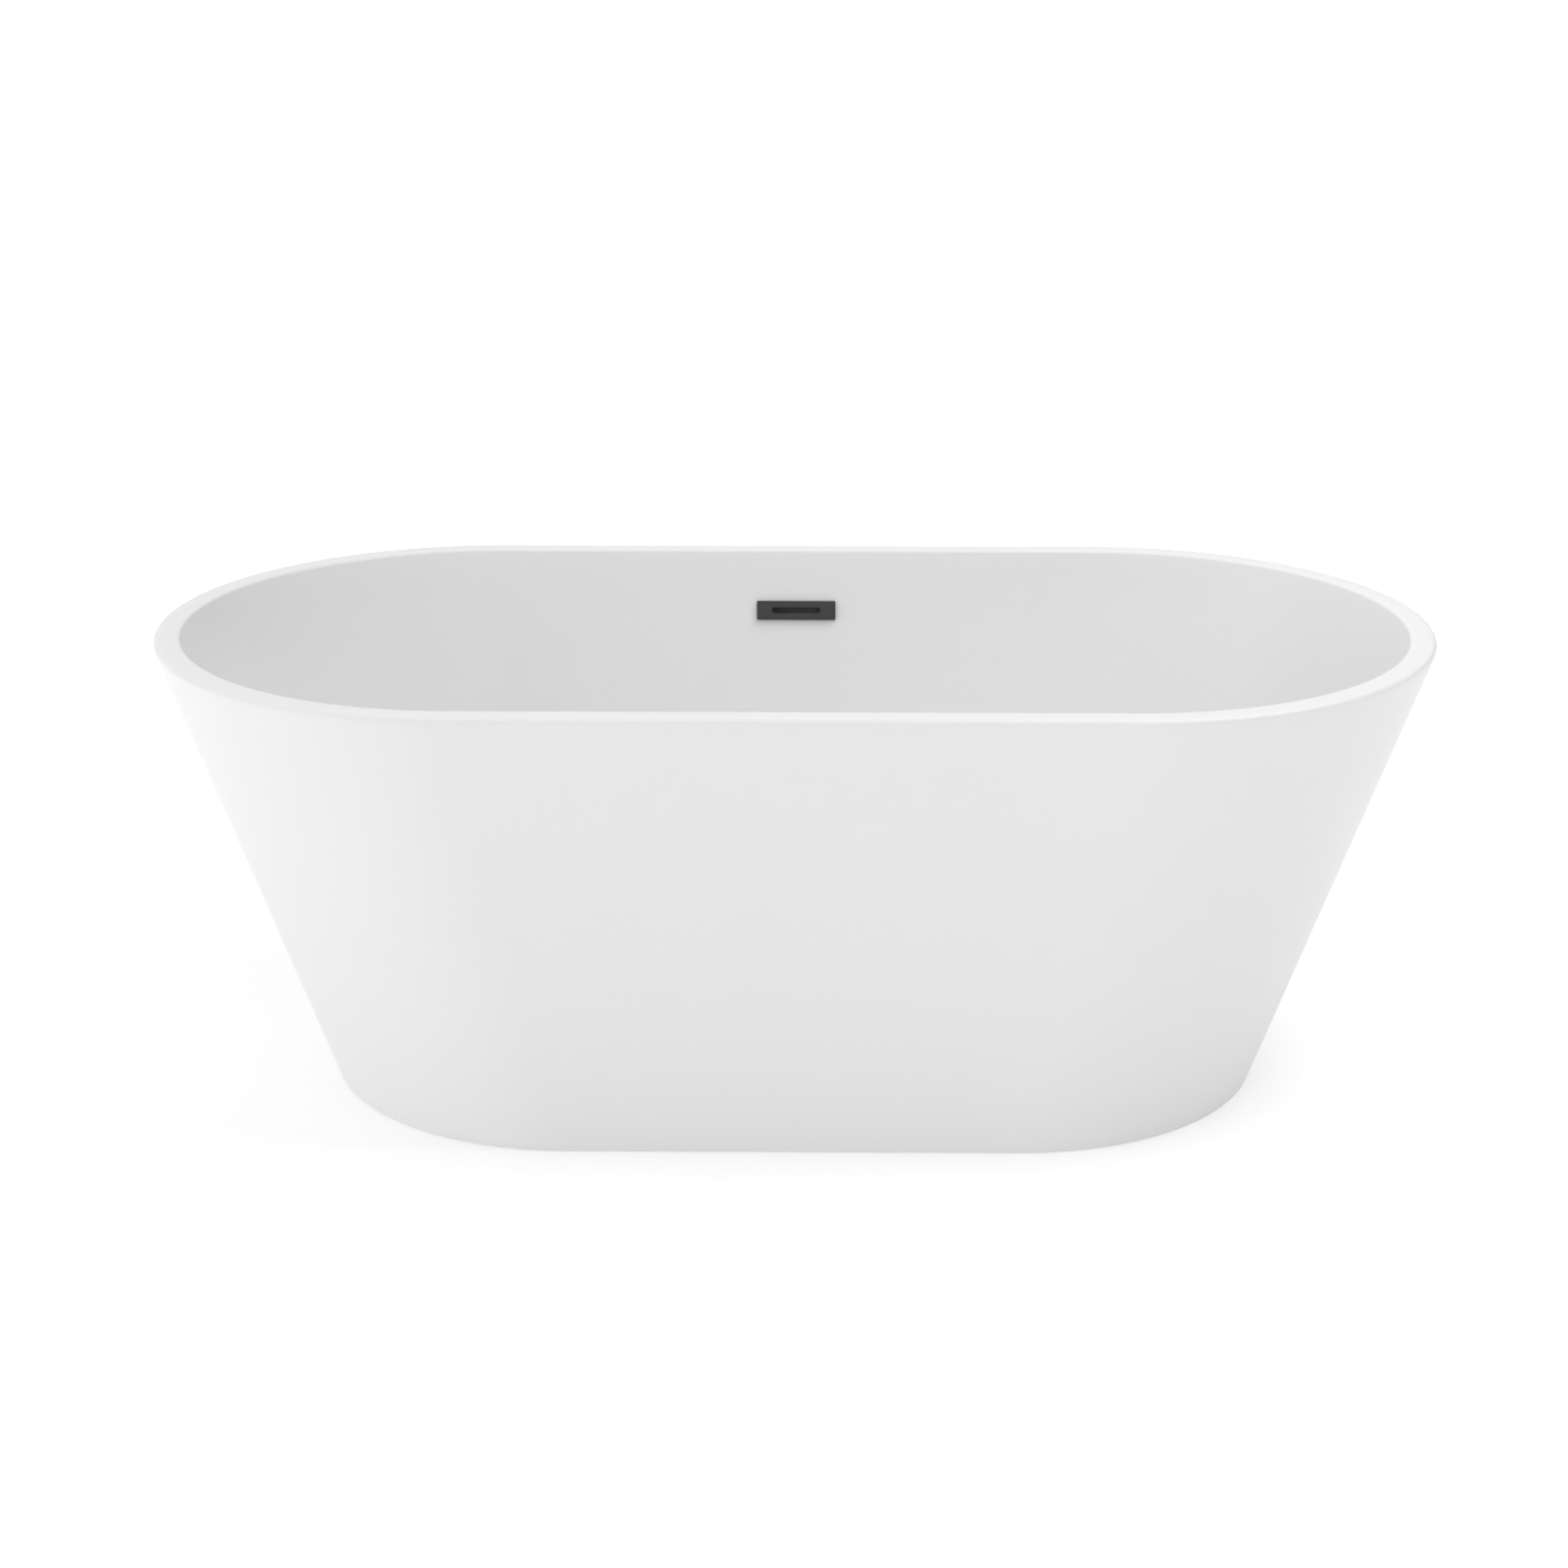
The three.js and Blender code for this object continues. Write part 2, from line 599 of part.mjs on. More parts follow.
// A hardwood block bonded inside the skirt at a cross bar's end. Its outer face follows the skirt.
function skirtBlock(side, face) {
  const top = blockBottom + BLOCK_HEIGHT;
  const reach = TUB_WIDTH / 2;
  const blank = box(BLOCK_LENGTH, reach, blockBottom, top);
  blank.translate(side * barX, face * (blockFaceY + reach / 2), 0);
  const inner = skirtSkin + GAP;
  const low = blockBottom - OVERCUT;
  const high = top + OVERCUT;
  const ends = [{ halfLength: 0, halfWidth: 0, z: low }, { halfLength: 0, halfWidth: 0, z: high }];
  return clip(blank, lofted([ends[0], skirtWall(low, inner), skirtWall(high, inner), ends[1]]));
}

// An angle welded under the cross bar's end, with its upright leg against the block. It lies in its own
// frame, with +X towards the skirt and the corner's outer edge on the Y axis.
function skirtBracket() {
  const top = RAIL + BRACKET;
  const outline = new THREE.Shape();
  outline.moveTo(-BRACKET_LEG, 0);
  outline.lineTo(0, 0);
  outline.lineTo(0, top);
  outline.lineTo(-BRACKET, top);
  outline.lineTo(-BRACKET, BRACKET);
  outline.lineTo(-BRACKET_LEG, BRACKET);
  outline.closePath();
  return plate(outline, -BRACKET_WIDTH / 2, BRACKET_WIDTH / 2).rotateX(Math.PI / 2);
}

const frame = [];
for (const face of [-1, 1]) {
  frame.push(group(0, face * railY, railTop, piece(`frame_rail_${FACE_NAMES[face]}`, "galvanised", rail())));
}
for (const side of [-1, 1]) {
  frame.push(group(side * barX, 0, barTop, piece(`cross_bar_${SIDE_NAMES[side]}`, "galvanised", crossBar())));
  for (const face of [-1, 1]) {
    const corner = `${FACE_NAMES[face]}_${SIDE_NAMES[side]}`;
    const screw = piece(`board_screw_${corner}`, "zinc", boardScrew());
    frame.push(group(side * SCREW_STATION, face * railY, railBottom - GAP - SCREW_HEAD_HEIGHT, screw));
    frame.push(piece(`skirt_block_${corner}`, "plywood", skirtBlock(side, face)));
    const bracket = piece(`skirt_bracket_${corner}`, "galvanised", skirtBracket());
    bracket.rotation.z = (face * Math.PI) / 2;
    frame.push(group(side * barX, face * (blockFaceY - GAP), barBottom - GAP - BRACKET, bracket));
  }
}

// ---- Levelling feet ---------------------------------------------------------------------------------
function footPad() {
  const socket = STUD_RADIUS + RUNNING;
  return turned([
    [0, 0],
    [PAD_RADIUS - 1, 0],
    [PAD_RADIUS, 1],
    [PAD_RADIUS, PAD_SOLE],
    [2 * STUD_RADIUS, PAD_HEIGHT],
    [socket, PAD_HEIGHT],
    [socket, PAD_SOLE],
    [0, PAD_SOLE],
  ], SMALL_SIDES);
}

// The stud stands in the pad's socket and ends just under the cross bar's upper wall.
function footStud() {
  const collarBottom = PAD_HEIGHT + GAP;
  return join(
    disc(STUD_RADIUS, PAD_SOLE + GAP, barTop - RAIL_WALL - GAP, SMALL_SIDES),
    hexagon(STUD_COLLAR, collarBottom, collarBottom + STUD_COLLAR_HEIGHT),
  );
}

function studNut(low, high) {
  const bore = disc(STUD_RADIUS + RUNNING, low - OVERCUT, high + OVERCUT, SMALL_SIDES);
  return cut(hexagon(NUT_FLATS, low, high), bore);
}

const feet = [];
for (const side of [-1, 1]) {
  for (const face of [-1, 1]) {
    const corner = `${FACE_NAMES[face]}_${SIDE_NAMES[side]}`;
    const weldNutBottom = barBottom - GAP - WELD_NUT_HEIGHT;
    const jamNutTop = weldNutBottom - GAP;
    feet.push(
      group(
        side * barX,
        face * footY,
        0,
        piece(`foot_pad_${corner}`, "rubber", footPad()),
        piece(`foot_stud_${corner}`, "zinc", footStud()),
        piece(`foot_jam_nut_${corner}`, "zinc", studNut(jamNutTop - JAM_NUT_HEIGHT, jamNutTop)),
        piece(`foot_weld_nut_${corner}`, "zinc", studNut(weldNutBottom, barBottom - GAP)),
      ),
    );
  }
}

// ---- Overflow ---------------------------------------------------------------------------------------
// A shallow cap with the water slot in its face. It snaps over the carrier plate.
function overflowCover() {
  const corner = 1.5;
  const top = GAP + COVER_DEPTH;
  const cap = plate(roundedRectangle(COVER_LENGTH, COVER_HEIGHT, corner), GAP, top, [
    roundEnded(SLOT_LENGTH, SLOT_HEIGHT),
  ]);
  const inside = box(COVER_LENGTH - 2 * COVER_SIDE, COVER_HEIGHT - 2 * COVER_SIDE, GAP - OVERCUT, top - COVER_FACE);
  return cut(cap, inside);
}

function overflowCarrier() {
  const fit = 2 * (COVER_SIDE + GAP);
  const screwHoles = [-1, 1].map((side) => {
    return turned([
      [0, GAP - OVERCUT],
      [OVERFLOW_SCREW_RADIUS + RUNNING, GAP - OVERCUT],
      [OVERFLOW_SCREW_RADIUS + RUNNING, GAP],
      [OVERFLOW_SCREW_HEAD + RUNNING, GAP + CARRIER],
      [OVERFLOW_SCREW_HEAD + RUNNING, GAP + CARRIER + 1],
      [0, GAP + CARRIER + 1],
    ], SMALL_SIDES).translate(side * OVERFLOW_SCREW_STATION, 0, 0);
  });
  const outline = roundedRectangle(COVER_LENGTH - fit, COVER_HEIGHT - fit, 1);
  return cut(plate(outline, GAP, GAP + CARRIER, [roundEnded(windowLength, windowHeight)]), ...screwHoles);
}

// A countersunk screw that pulls the housing up to the wall.
function overflowScrew() {
  return turned([
    [0, housingBack + 2 * HOUSING_WALL],
    [OVERFLOW_SCREW_RADIUS, housingBack + 2 * HOUSING_WALL],
    [OVERFLOW_SCREW_RADIUS, GAP],
    [OVERFLOW_SCREW_HEAD, GAP + CARRIER],
    [0, GAP + CARRIER],
  ], SMALL_SIDES);
}

function overflowSeal() {
  const holes = [roundEnded(windowLength + WINDOW_MARGIN, windowHeight + WINDOW_MARGIN)];
  for (const side of [-1, 1]) {
    holes.push(circle(OVERFLOW_SCREW_RADIUS + RUNNING, side * OVERFLOW_SCREW_STATION));
  }
  const outline = roundedRectangle(HOUSING_LENGTH, housingHeight, HOUSING_CORNER);
  return plate(outline, sealBack, wallBack - GAP, holes);
}

// A shallow chamber behind the wall that hands the water to a round socket under it.
function overflowHousing() {
  const chamberBack = housingBack + HOUSING_WALL;
  const throatTop = -windowHeight / 2;
  const bodyBottom = hopperTop - HOUSING_WALL;
  const bodyHeight = housingHeight / 2 - bodyBottom;
  const body = plate(roundedRectangle(HOUSING_LENGTH, bodyHeight, HOUSING_CORNER), housingBack, housingFront);
  body.translate(0, housingHeight / 2 - bodyHeight / 2, 0);
  const hopper = box(2 * socketRadius, hopperTop - socketTop, hopperBack, housingFront);
  hopper.translate(0, (hopperTop + socketTop) / 2, 0);
  const alongWall = (radius, low, high, sides) => {
    return disc(radius, low, high, sides).rotateX(-Math.PI / 2).translate(0, 0, socketZ);
  };
  const socket = alongWall(socketRadius, socketBottom, socketTop + 1);
  const chamber = plate(roundEnded(windowLength + WINDOW_MARGIN, windowHeight + WINDOW_MARGIN), chamberBack, OVERCUT);
  const waterway = PIPE_RADIUS - PIPE_WALL;
  const throat = box(2 * waterway, throatTop - socketTop, chamberBack, housingFront - HOUSING_WALL);
  throat.translate(0, (throatTop + socketTop) / 2, 0);
  const bore = alongWall(waterway, socketTop - OVERCUT, hopperTop - 2 * HOUSING_WALL);
  const mouth = alongWall(PIPE_RADIUS + RUNNING, socketBottom - OVERCUT, socketTop - GAP);
  const screwHoles = [-1, 1].map((side) => {
    const hole = disc(OVERFLOW_SCREW_RADIUS + RUNNING, housingBack + HOUSING_WALL, OVERCUT, SMALL_SIDES);
    return hole.translate(side * OVERFLOW_SCREW_STATION, 0, 0);
  });
  return cut(join(body, hopper, socket), chamber, throat, bore, mouth, ...screwHoles);
}

overflow.add(
  piece("overflow_cover", "black", overflowCover()),
  piece("overflow_carrier", "black", overflowCarrier()),
  piece("overflow_seal", "rubber", overflowSeal()),
  piece("overflow_housing", "pvc", overflowHousing()),
);
for (const side of [-1, 1]) {
  const screw = piece(`overflow_screw_${SIDE_NAMES[side]}`, "zinc", overflowScrew());
  overflow.add(group(side * OVERFLOW_SCREW_STATION, 0, 0, screw));
}

// A path through corner points whose inner corners are rounded.
function roundedPath(corners, bend) {
  const path = new THREE.CurvePath();
  let from = corners[0];
  for (let i = 1; i < corners.length - 1; i += 1) {
    const towards = (other) => corners[i].clone().lerp(other, bend / corners[i].distanceTo(other));
    const enter = towards(corners[i - 1]);
    const leave = towards(corners[i + 1]);
    path.add(new THREE.LineCurve3(from, enter));
    path.add(new THREE.QuadraticBezierCurve3(enter, corners[i], leave));
    from = leave;
  }
  path.add(new THREE.LineCurve3(from, corners.at(-1)));
  return path;
}

// From the overflow's socket, down between the skins, and in under the rails to the drain's port.
function overflowPipe() {
  const onWall = (y) => new THREE.Vector3(0, y, socketZ).applyMatrix4(overflow.matrix);
  const start = onWall(socketTop - 2 * GAP);
  const beyondSocket = onWall(socketBottom - PIPE_BEND);
  const turnY = skirtInsideY(0, portZ) - PIPE_STANDOFF - PIPE_RADIUS;
  const corners = [
    start,
    beyondSocket,
    new THREE.Vector3(0, turnY, portZ),
    new THREE.Vector3(0, PORT_SHOULDER + GAP, portZ),
  ];
  const section = circle(PIPE_RADIUS);
  section.holes.push(circle(PIPE_RADIUS - PIPE_WALL));
  const settings = {
    extrudePath: roundedPath(corners, PIPE_BEND),
    steps: PIPE_STEPS,
    curveSegments: 1,
  };
  return new THREE.ExtrudeGeometry(section, settings);
}

// The nut that closes the drain's side port round the pipe, along +Y from the port's mouth.
function overflowPipeNut() {
  const bite = 12;
  const outer = portRadius + GAP + PORT_NUT_WALL;
  const blank = disc(outer, PORT_REACH - bite, PORT_REACH + GAP + PORT_NUT_WALL, 12);
  const thread = disc(portRadius + GAP, PORT_REACH - bite - OVERCUT, PORT_REACH + GAP);
  const passage = disc(PIPE_RADIUS + RUNNING, PORT_REACH - OVERCUT, PORT_REACH + 2 * OVERCUT);
  return cut(blank, thread, passage).rotateX(-Math.PI / 2);
}

const overflowLine = [
  piece("overflow_pipe", "pvc", overflowPipe()),
  group(0, 0, portZ, piece("overflow_pipe_nut", "pvc", overflowPipeNut())),
];

// ---- Drain ------------------------------------------------------------------------------------------
// Flange and threaded tail in one, with spokes that hold the click cartridge in the middle.
function drainFlange() {
  const edge = 1.2;
  const tail = turned([
    [waterRadius, threadBottom],
    [THREAD_RADIUS, threadBottom],
    [THREAD_RADIUS, flangeBottom],
    [FLANGE_RADIUS, flangeBottom],
    [FLANGE_RADIUS, flangeTop - edge],
    [FLANGE_RADIUS - edge, flangeTop],
    [waterRadius, flangeTop],
    [waterRadius, threadBottom],
  ], FINE_SIDES);
  const hub = disc(CARTRIDGE_RADIUS + RUNNING + HUB_WALL, spokeBottom, spokeTop);
  const reach = waterRadius + THREAD_WALL / 2;
  const spokes = Array.from({ length: SPOKES }, (_, i) => {
    const spoke = box(reach, SPOKE_WIDTH, spokeBottom, spokeTop).translate(reach / 2, 0, 0);
    return spoke.rotateZ((2 * Math.PI * i) / SPOKES);
  });
  const bore = disc(CARTRIDGE_RADIUS + RUNNING, spokeBottom - OVERCUT, spokeTop + OVERCUT);
  return cut(join(tail, hub, ...spokes), bore);
}

function lockNut() {
  const bore = disc(THREAD_RADIUS + RUNNING, lockNutBottom - OVERCUT, lockNutTop + OVERCUT, FINE_SIDES);
  return cut(hexagon(LOCK_NUT_FLATS, lockNutBottom, lockNutTop), bore);
}

// The drain's body: a socket for the flange's tail, a chamber, and a side port for the overflow.
function drainTee() {
  const socketBore = THREAD_RADIUS + RUNNING;
  const socketOuter = socketBore + TEE_SOCKET_WALL;
  const top = lockNutBottom - GAP;
  const shoulder = threadBottom - GAP;
  const outside = turned([
    [0, teeBottom],
    [teeRadius, teeBottom],
    [teeRadius, shoulder - TEE_WALL],
    [socketOuter, shoulder],
    [socketOuter, top],
    [0, top],
  ]);
  const alongPort = (radius, low, high) => disc(radius, low, high).rotateX(-Math.PI / 2).translate(0, 0, portZ);
  return cut(
    join(outside, alongPort(portRadius, TEE_BORE / 2, PORT_REACH)),
    disc(TEE_BORE, teeBottom - OVERCUT, shoulder + OVERCUT),
    disc(socketBore, shoulder, top + OVERCUT),
    alongPort(PIPE_RADIUS - PIPE_WALL, 0, PORT_REACH),
    alongPort(PIPE_RADIUS + RUNNING, PORT_SHOULDER, PORT_REACH + OVERCUT),
  );
}

function tailpieceNut() {
  const top = teeBottom + TAIL_NUT_BITE;
  const bottom = teeBottom - GAP - TAIL_NUT_END;
  return cut(
    disc(TAIL_NUT_RADIUS, bottom, top, 12),
    disc(teeRadius + GAP, teeBottom - GAP, top + OVERCUT),
    disc(tailpieceRadius + RUNNING, bottom - OVERCUT, top),
  );
}

function clickCartridge() {
  const end = CARTRIDGE_END;
  return turned([
    [0, cartridgeBottom],
    [CARTRIDGE_RADIUS, cartridgeBottom],
    [CARTRIDGE_RADIUS, cartridgeTop],
    [STEM_RADIUS + RUNNING, cartridgeTop],
    [STEM_RADIUS + RUNNING, cartridgeTop - end],
    [cartridgeBore, cartridgeTop - end],
    [cartridgeBore, cartridgeBottom + end],
    [0, cartridgeBottom + end],
  ]);
}

function stopperStem() {
  return turned([
    [0, stemCollarBottom],
    [cartridgeBore - RUNNING, stemCollarBottom],
    [cartridgeBore - RUNNING, stemCollarBottom + STEM_COLLAR_HEIGHT],
    [STEM_RADIUS, stemCollarBottom + STEM_COLLAR_HEIGHT],
    [STEM_RADIUS, capBottom - GAP],
    [0, capBottom - GAP],
  ], SMALL_SIDES);
}

function stopperCap() {
  const edge = 1;
  return turned([
    [0, capBottom],
    [CAP_RADIUS - edge, capBottom],
    [CAP_RADIUS, capBottom + edge],
    [CAP_RADIUS, capBottom + CAP_EDGE],
    [CAP_RADIUS - 2 * edge, capBottom + CAP_EDGE + edge],
    [0, capBottom + CAP_EDGE + CAP_CROWN],
  ], FINE_SIDES);
}

// The cartridge's coil spring stands on its closed end and pushes the stem's collar up.
function cartridgeSpring() {
  const low = cartridgeBottom + CARTRIDGE_END + GAP + SPRING_WIRE;
  const high = stemCollarBottom - GAP - SPRING_WIRE;
  const radius = cartridgeBore - RUNNING - SPRING_WIRE;
  const helix = new THREE.Curve();
  helix.getPoint = (t, point = new THREE.Vector3()) => {
    const turn = 2 * Math.PI * SPRING_TURNS * t;
    return point.set(radius * Math.cos(turn), radius * Math.sin(turn), low + (high - low) * t);
  };
  const settings = { extrudePath: helix, steps: SPRING_STEPS * SPRING_TURNS, curveSegments: 1 };
  return new THREE.ExtrudeGeometry(circle(SPRING_WIRE), settings);
}

const gasketOuter = FLANGE_RADIUS - 1;
const threadClear = THREAD_RADIUS + RUNNING;
const sealOuter = CAP_SEAL_RADIUS;
const sealInner = CAP_SEAL_RADIUS - CAP_SEAL_WIDTH;
const tailBottom = teeBottom - TAILPIECE_BELOW_TEE;
const tailTop = teeBottom + TAILPIECE_BITE;
const drain = [
  piece("drain_flange", "black", drainFlange()),
  piece("drain_gasket", "rubber", tube(gasketOuter, threadClear, gasketBottom, gasketBottom + TOP_GASKET)),
  piece("drain_washer", "rubber", tube(WASHER_RADIUS, threadClear, washerTop - WASHER, washerTop)),
  piece("drain_lock_nut", "pvc", lockNut()),
  piece("drain_tee", "pvc", drainTee()),
  piece("tailpiece", "pvc", tube(tailpieceRadius, tailpieceRadius - TAILPIECE_WALL, tailBottom, tailTop)),
  piece("tailpiece_nut", "pvc", tailpieceNut()),
  piece("click_cartridge", "brass", clickCartridge()),
  piece("cartridge_spring", "zinc", cartridgeSpring()),
  piece("stopper_stem", "brass", stopperStem()),
  piece("stopper_seal", "rubber", tube(sealOuter, sealInner, capSealBottom, capSealBottom + CAP_SEAL)),
  piece("stopper_cap", "black", stopperCap()),
];

// ---- The tub ----------------------------------------------------------------------------------------
const bathtub = new THREE.Group();
bathtub.add(...shells, ...frame, ...feet, overflow, ...overflowLine, ...drain);

export default bathtub;
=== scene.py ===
import json
import math

import bpy
import bmesh
from mathutils import Matrix, Vector, noise


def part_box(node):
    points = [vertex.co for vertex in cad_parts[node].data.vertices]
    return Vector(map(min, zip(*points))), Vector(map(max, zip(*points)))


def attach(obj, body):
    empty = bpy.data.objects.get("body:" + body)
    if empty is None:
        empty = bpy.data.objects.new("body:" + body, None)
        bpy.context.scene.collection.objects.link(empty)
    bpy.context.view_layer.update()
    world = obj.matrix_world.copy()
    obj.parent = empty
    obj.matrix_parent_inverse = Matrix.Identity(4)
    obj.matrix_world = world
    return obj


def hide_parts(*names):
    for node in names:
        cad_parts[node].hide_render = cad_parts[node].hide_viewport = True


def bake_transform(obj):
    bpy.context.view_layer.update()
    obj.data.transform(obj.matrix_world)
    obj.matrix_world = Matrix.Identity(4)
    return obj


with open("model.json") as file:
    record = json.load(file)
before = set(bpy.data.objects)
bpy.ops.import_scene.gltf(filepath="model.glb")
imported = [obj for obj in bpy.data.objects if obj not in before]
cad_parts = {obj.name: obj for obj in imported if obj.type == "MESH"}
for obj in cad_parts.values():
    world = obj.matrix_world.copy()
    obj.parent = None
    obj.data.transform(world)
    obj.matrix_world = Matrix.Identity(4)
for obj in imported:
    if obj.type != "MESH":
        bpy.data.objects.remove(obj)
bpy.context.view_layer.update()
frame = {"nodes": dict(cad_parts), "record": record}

# Looks of a freestanding double-skin bathtub. Sizes are written in millimetres and turned into metres
# when a piece is made. +X runs along the tub, and +Y points to the long side with the overflow.
MM = 0.001


# ---- Finishes ---------------------------------------------------------------------------------------
class Reading:
    """A node's output, so that sums on it can be written as plain expressions."""

    def __init__(self, shading, socket):
        self.shading = shading
        self.socket = socket

    def sum_of(self, operation, first, second):
        return self.shading.node("ShaderNodeMath", {"operation": operation}, {0: first, 1: second})

    def __add__(self, other):
        return self.sum_of("ADD", self, other)

    def __radd__(self, other):
        return self.sum_of("ADD", other, self)

    def __sub__(self, other):
        return self.sum_of("SUBTRACT", self, other)

    def __rsub__(self, other):
        return self.sum_of("SUBTRACT", other, self)

    def __mul__(self, other):
        return self.sum_of("MULTIPLY", self, other)

    def __rmul__(self, other):
        return self.sum_of("MULTIPLY", other, self)


class Shading:
    """A node tree that grows by one node at a time."""

    def __init__(self, owner):
        owner.use_nodes = True
        self.tree = owner.node_tree

    def node(self, kind, settings=None, sockets=None, output=0):
        """One node of any type: its settings first, then its sockets' values or links."""
        made = self.tree.nodes.new(kind)
        for setting, value in (settings or {}).items():
            setattr(made, setting, value)
        for socket, value in (sockets or {}).items():
            self.feed(made.inputs[socket], value)
        return Reading(self, made.outputs[output])

    def feed(self, socket, value):
        if isinstance(value, Reading):
            self.tree.links.new(socket, value.socket)
        else:
            socket.default_value = value

    def above(self, value, low, high):
        """How far a value has risen from low to high, from 0 to 1."""
        return self.node("ShaderNodeMapRange", None, {0: value, 1: low, 2: high, 3: 0.0, 4: 1.0})

    def between(self, share, first, second):
        """A colour between two, by a share from 0 to 1."""
        return self.node("ShaderNodeMix", {"data_type": "RGBA"}, {0: share, 6: first, 7: second}, 2)


class Finish(Shading):
    """A material built round one Principled shader."""

    def __init__(self, name, **constants):
        self.material = bpy.data.materials.new(name)
        super().__init__(self.material)
        self.shader = self.tree.nodes["Principled BSDF"]
        for socket, value in constants.items():
            self.shader.inputs[socket.replace("_", " ")].default_value = value
        self.place = self.node("ShaderNodeTexCoord", output="Object")

    def stretched(self, stretch):
        """The surface's place, with its pattern drawn out along the axes that have small numbers."""
        return self.node("ShaderNodeVectorMath", {"operation": "MULTIPLY"}, {0: self.place, 1: stretch})

    def mottle(self, size, detail=3.0, stretch=(1, 1, 1), wander=0.0):
        """Soft variation from 0 to 1, in patches of about the given size in metres."""
        sockets = {"Vector": self.stretched(stretch), "Scale": 1 / size, "Detail": detail,
                   "Distortion": wander}
        return self.node("ShaderNodeTexNoise", None, sockets)

    def cells(self, size, output="Distance", feature="F1"):
        """Cells of about the given size in metres."""
        sockets = {"Vector": self.place, "Scale": 1 / size}
        return self.node("ShaderNodeTexVoronoi", {"feature": feature}, sockets, output)

    def bands(self, spacing, direction, wander=0.0):
        """Regular bands across one axis, from 0 to 1, at a spacing in metres."""
        settings = {"wave_type": "BANDS", "bands_direction": direction, "wave_profile": "SIN"}
        sockets = {"Vector": self.place, "Scale": math.pi / 10 / spacing, "Distortion": wander}
        return self.node("ShaderNodeTexWave", settings, sockets, "Fac")

    def colour(self, value):
        self.feed(self.shader.inputs["Base Color"], value)

    def roughness(self, value):
        self.feed(self.shader.inputs["Roughness"], value)

    def relief(self, *layers):
        """Fine relief: pairs of a height from 0 to 1 and its depth in metres, coarse first."""
        normal = None
        for height, depth in layers:
            sockets = {"Height": height, "Distance": depth, "Strength": 1.0}
            if normal is not None:
                sockets["Normal"] = normal
            normal = self.node("ShaderNodeBump", None, sockets)
        self.feed(self.shader.inputs["Normal"], normal)


def box_of(node):
    """A node's lowest and highest corners, in millimetres."""
    return [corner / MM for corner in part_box(node)]


def middle_of(node):
    low, high = box_of(node)
    return (low + high) / 2


def tone(red, green, blue):
    return (red, green, blue, 1.0)


def grey(value):
    return tone(value, value, value)


def white_acrylic():
    """Vacuum-formed sanitary acrylic: a satin gloss with a faint ripple and wiped-down patches."""
    finish = Finish("white_acrylic", IOR=1.49)
    cloud = finish.mottle(0.25, 2.0)
    speck = finish.mottle(0.0012, 2.0)
    wiped = finish.mottle(0.16, 2.0, stretch=(0.5, 1.0, 1.0))
    patches = cloud * 0.7 + speck * 0.3
    finish.colour(finish.between(patches, tone(0.780, 0.781, 0.778), tone(0.792, 0.792, 0.790)))
    finish.roughness(0.33 + wiped * 0.05 + speck * 0.03)
    finish.relief((finish.mottle(0.045, 0.0), 0.00002), (finish.mottle(0.0025, 1.0), 0.000003))
    return finish


def fibreglass():
    """Chopped glass strands under rolled-out resin."""
    finish = Finish("fibreglass", IOR=1.53)
    lengthways = finish.mottle(0.004, 3.0, stretch=(0.12, 1.0, 1.0), wander=1.2)
    crossways = finish.mottle(0.004, 3.0, stretch=(1.0, 0.14, 0.6), wander=1.6)
    upright = finish.mottle(0.0045, 3.0, stretch=(1.0, 0.8, 0.12), wander=1.2)
    strands = finish.above(lengthways + crossways + upright, 1.35, 1.85)
    resin = finish.mottle(0.06, 4.0)
    pool = finish.above(resin, 0.42, 0.62)
    body = finish.between(pool, tone(0.60, 0.55, 0.38), tone(0.70, 0.66, 0.50))
    finish.colour(finish.between(strands * 0.55, body, tone(0.80, 0.78, 0.66)))
    finish.roughness(0.34 + pool * 0.22 + strands * 0.18)
    finish.relief((resin, 0.0012), (strands, 0.0003))
    return finish


def bonding_paste():
    """Polyester paste, squeezed out and left to cure."""
    finish = Finish("bonding_paste", IOR=1.52)
    lump = finish.mottle(0.012, 4.0)
    grit = finish.mottle(0.0008, 2.0)
    finish.colour(finish.between(lump, tone(0.66, 0.64, 0.57), tone(0.80, 0.78, 0.72)))
    finish.roughness(0.5 + grit * 0.2)
    finish.relief((lump, 0.0008), (grit, 0.00008))
    return finish


def plywood():
    """Birch plywood: grain along the sheet, and plies that change direction on its edges."""
    finish = Finish("plywood", IOR=1.45)
    ply = 1 - finish.above(finish.bands(0.00273, "Z"), 0.45, 0.55)
    along = finish.mottle(0.012, 6.0, stretch=(0.05, 1.0, 1.0), wander=0.4)
    across = finish.mottle(0.012, 6.0, stretch=(1.0, 0.05, 1.0), wander=0.4)
    rings = finish.above(along, 0.36, 0.64)
    ends = finish.above(across, 0.34, 0.66)
    long_grain = finish.between(rings, tone(0.40, 0.25, 0.12), tone(0.60, 0.43, 0.25))
    end_grain = finish.between(ends, tone(0.27, 0.16, 0.075), tone(0.46, 0.31, 0.16))
    pores = finish.above(finish.mottle(0.0011, 2.0, stretch=(0.08, 1.0, 1.0)), 0.62, 0.75)
    sheet = finish.between(ply, end_grain, long_grain)
    finish.colour(finish.between(pores * 0.35, sheet, tone(0.20, 0.115, 0.05)))
    finish.roughness(0.62 + pores * 0.2 - rings * 0.06)
    finish.relief((rings, 0.00012), (1 - pores, 0.0001))
    return finish


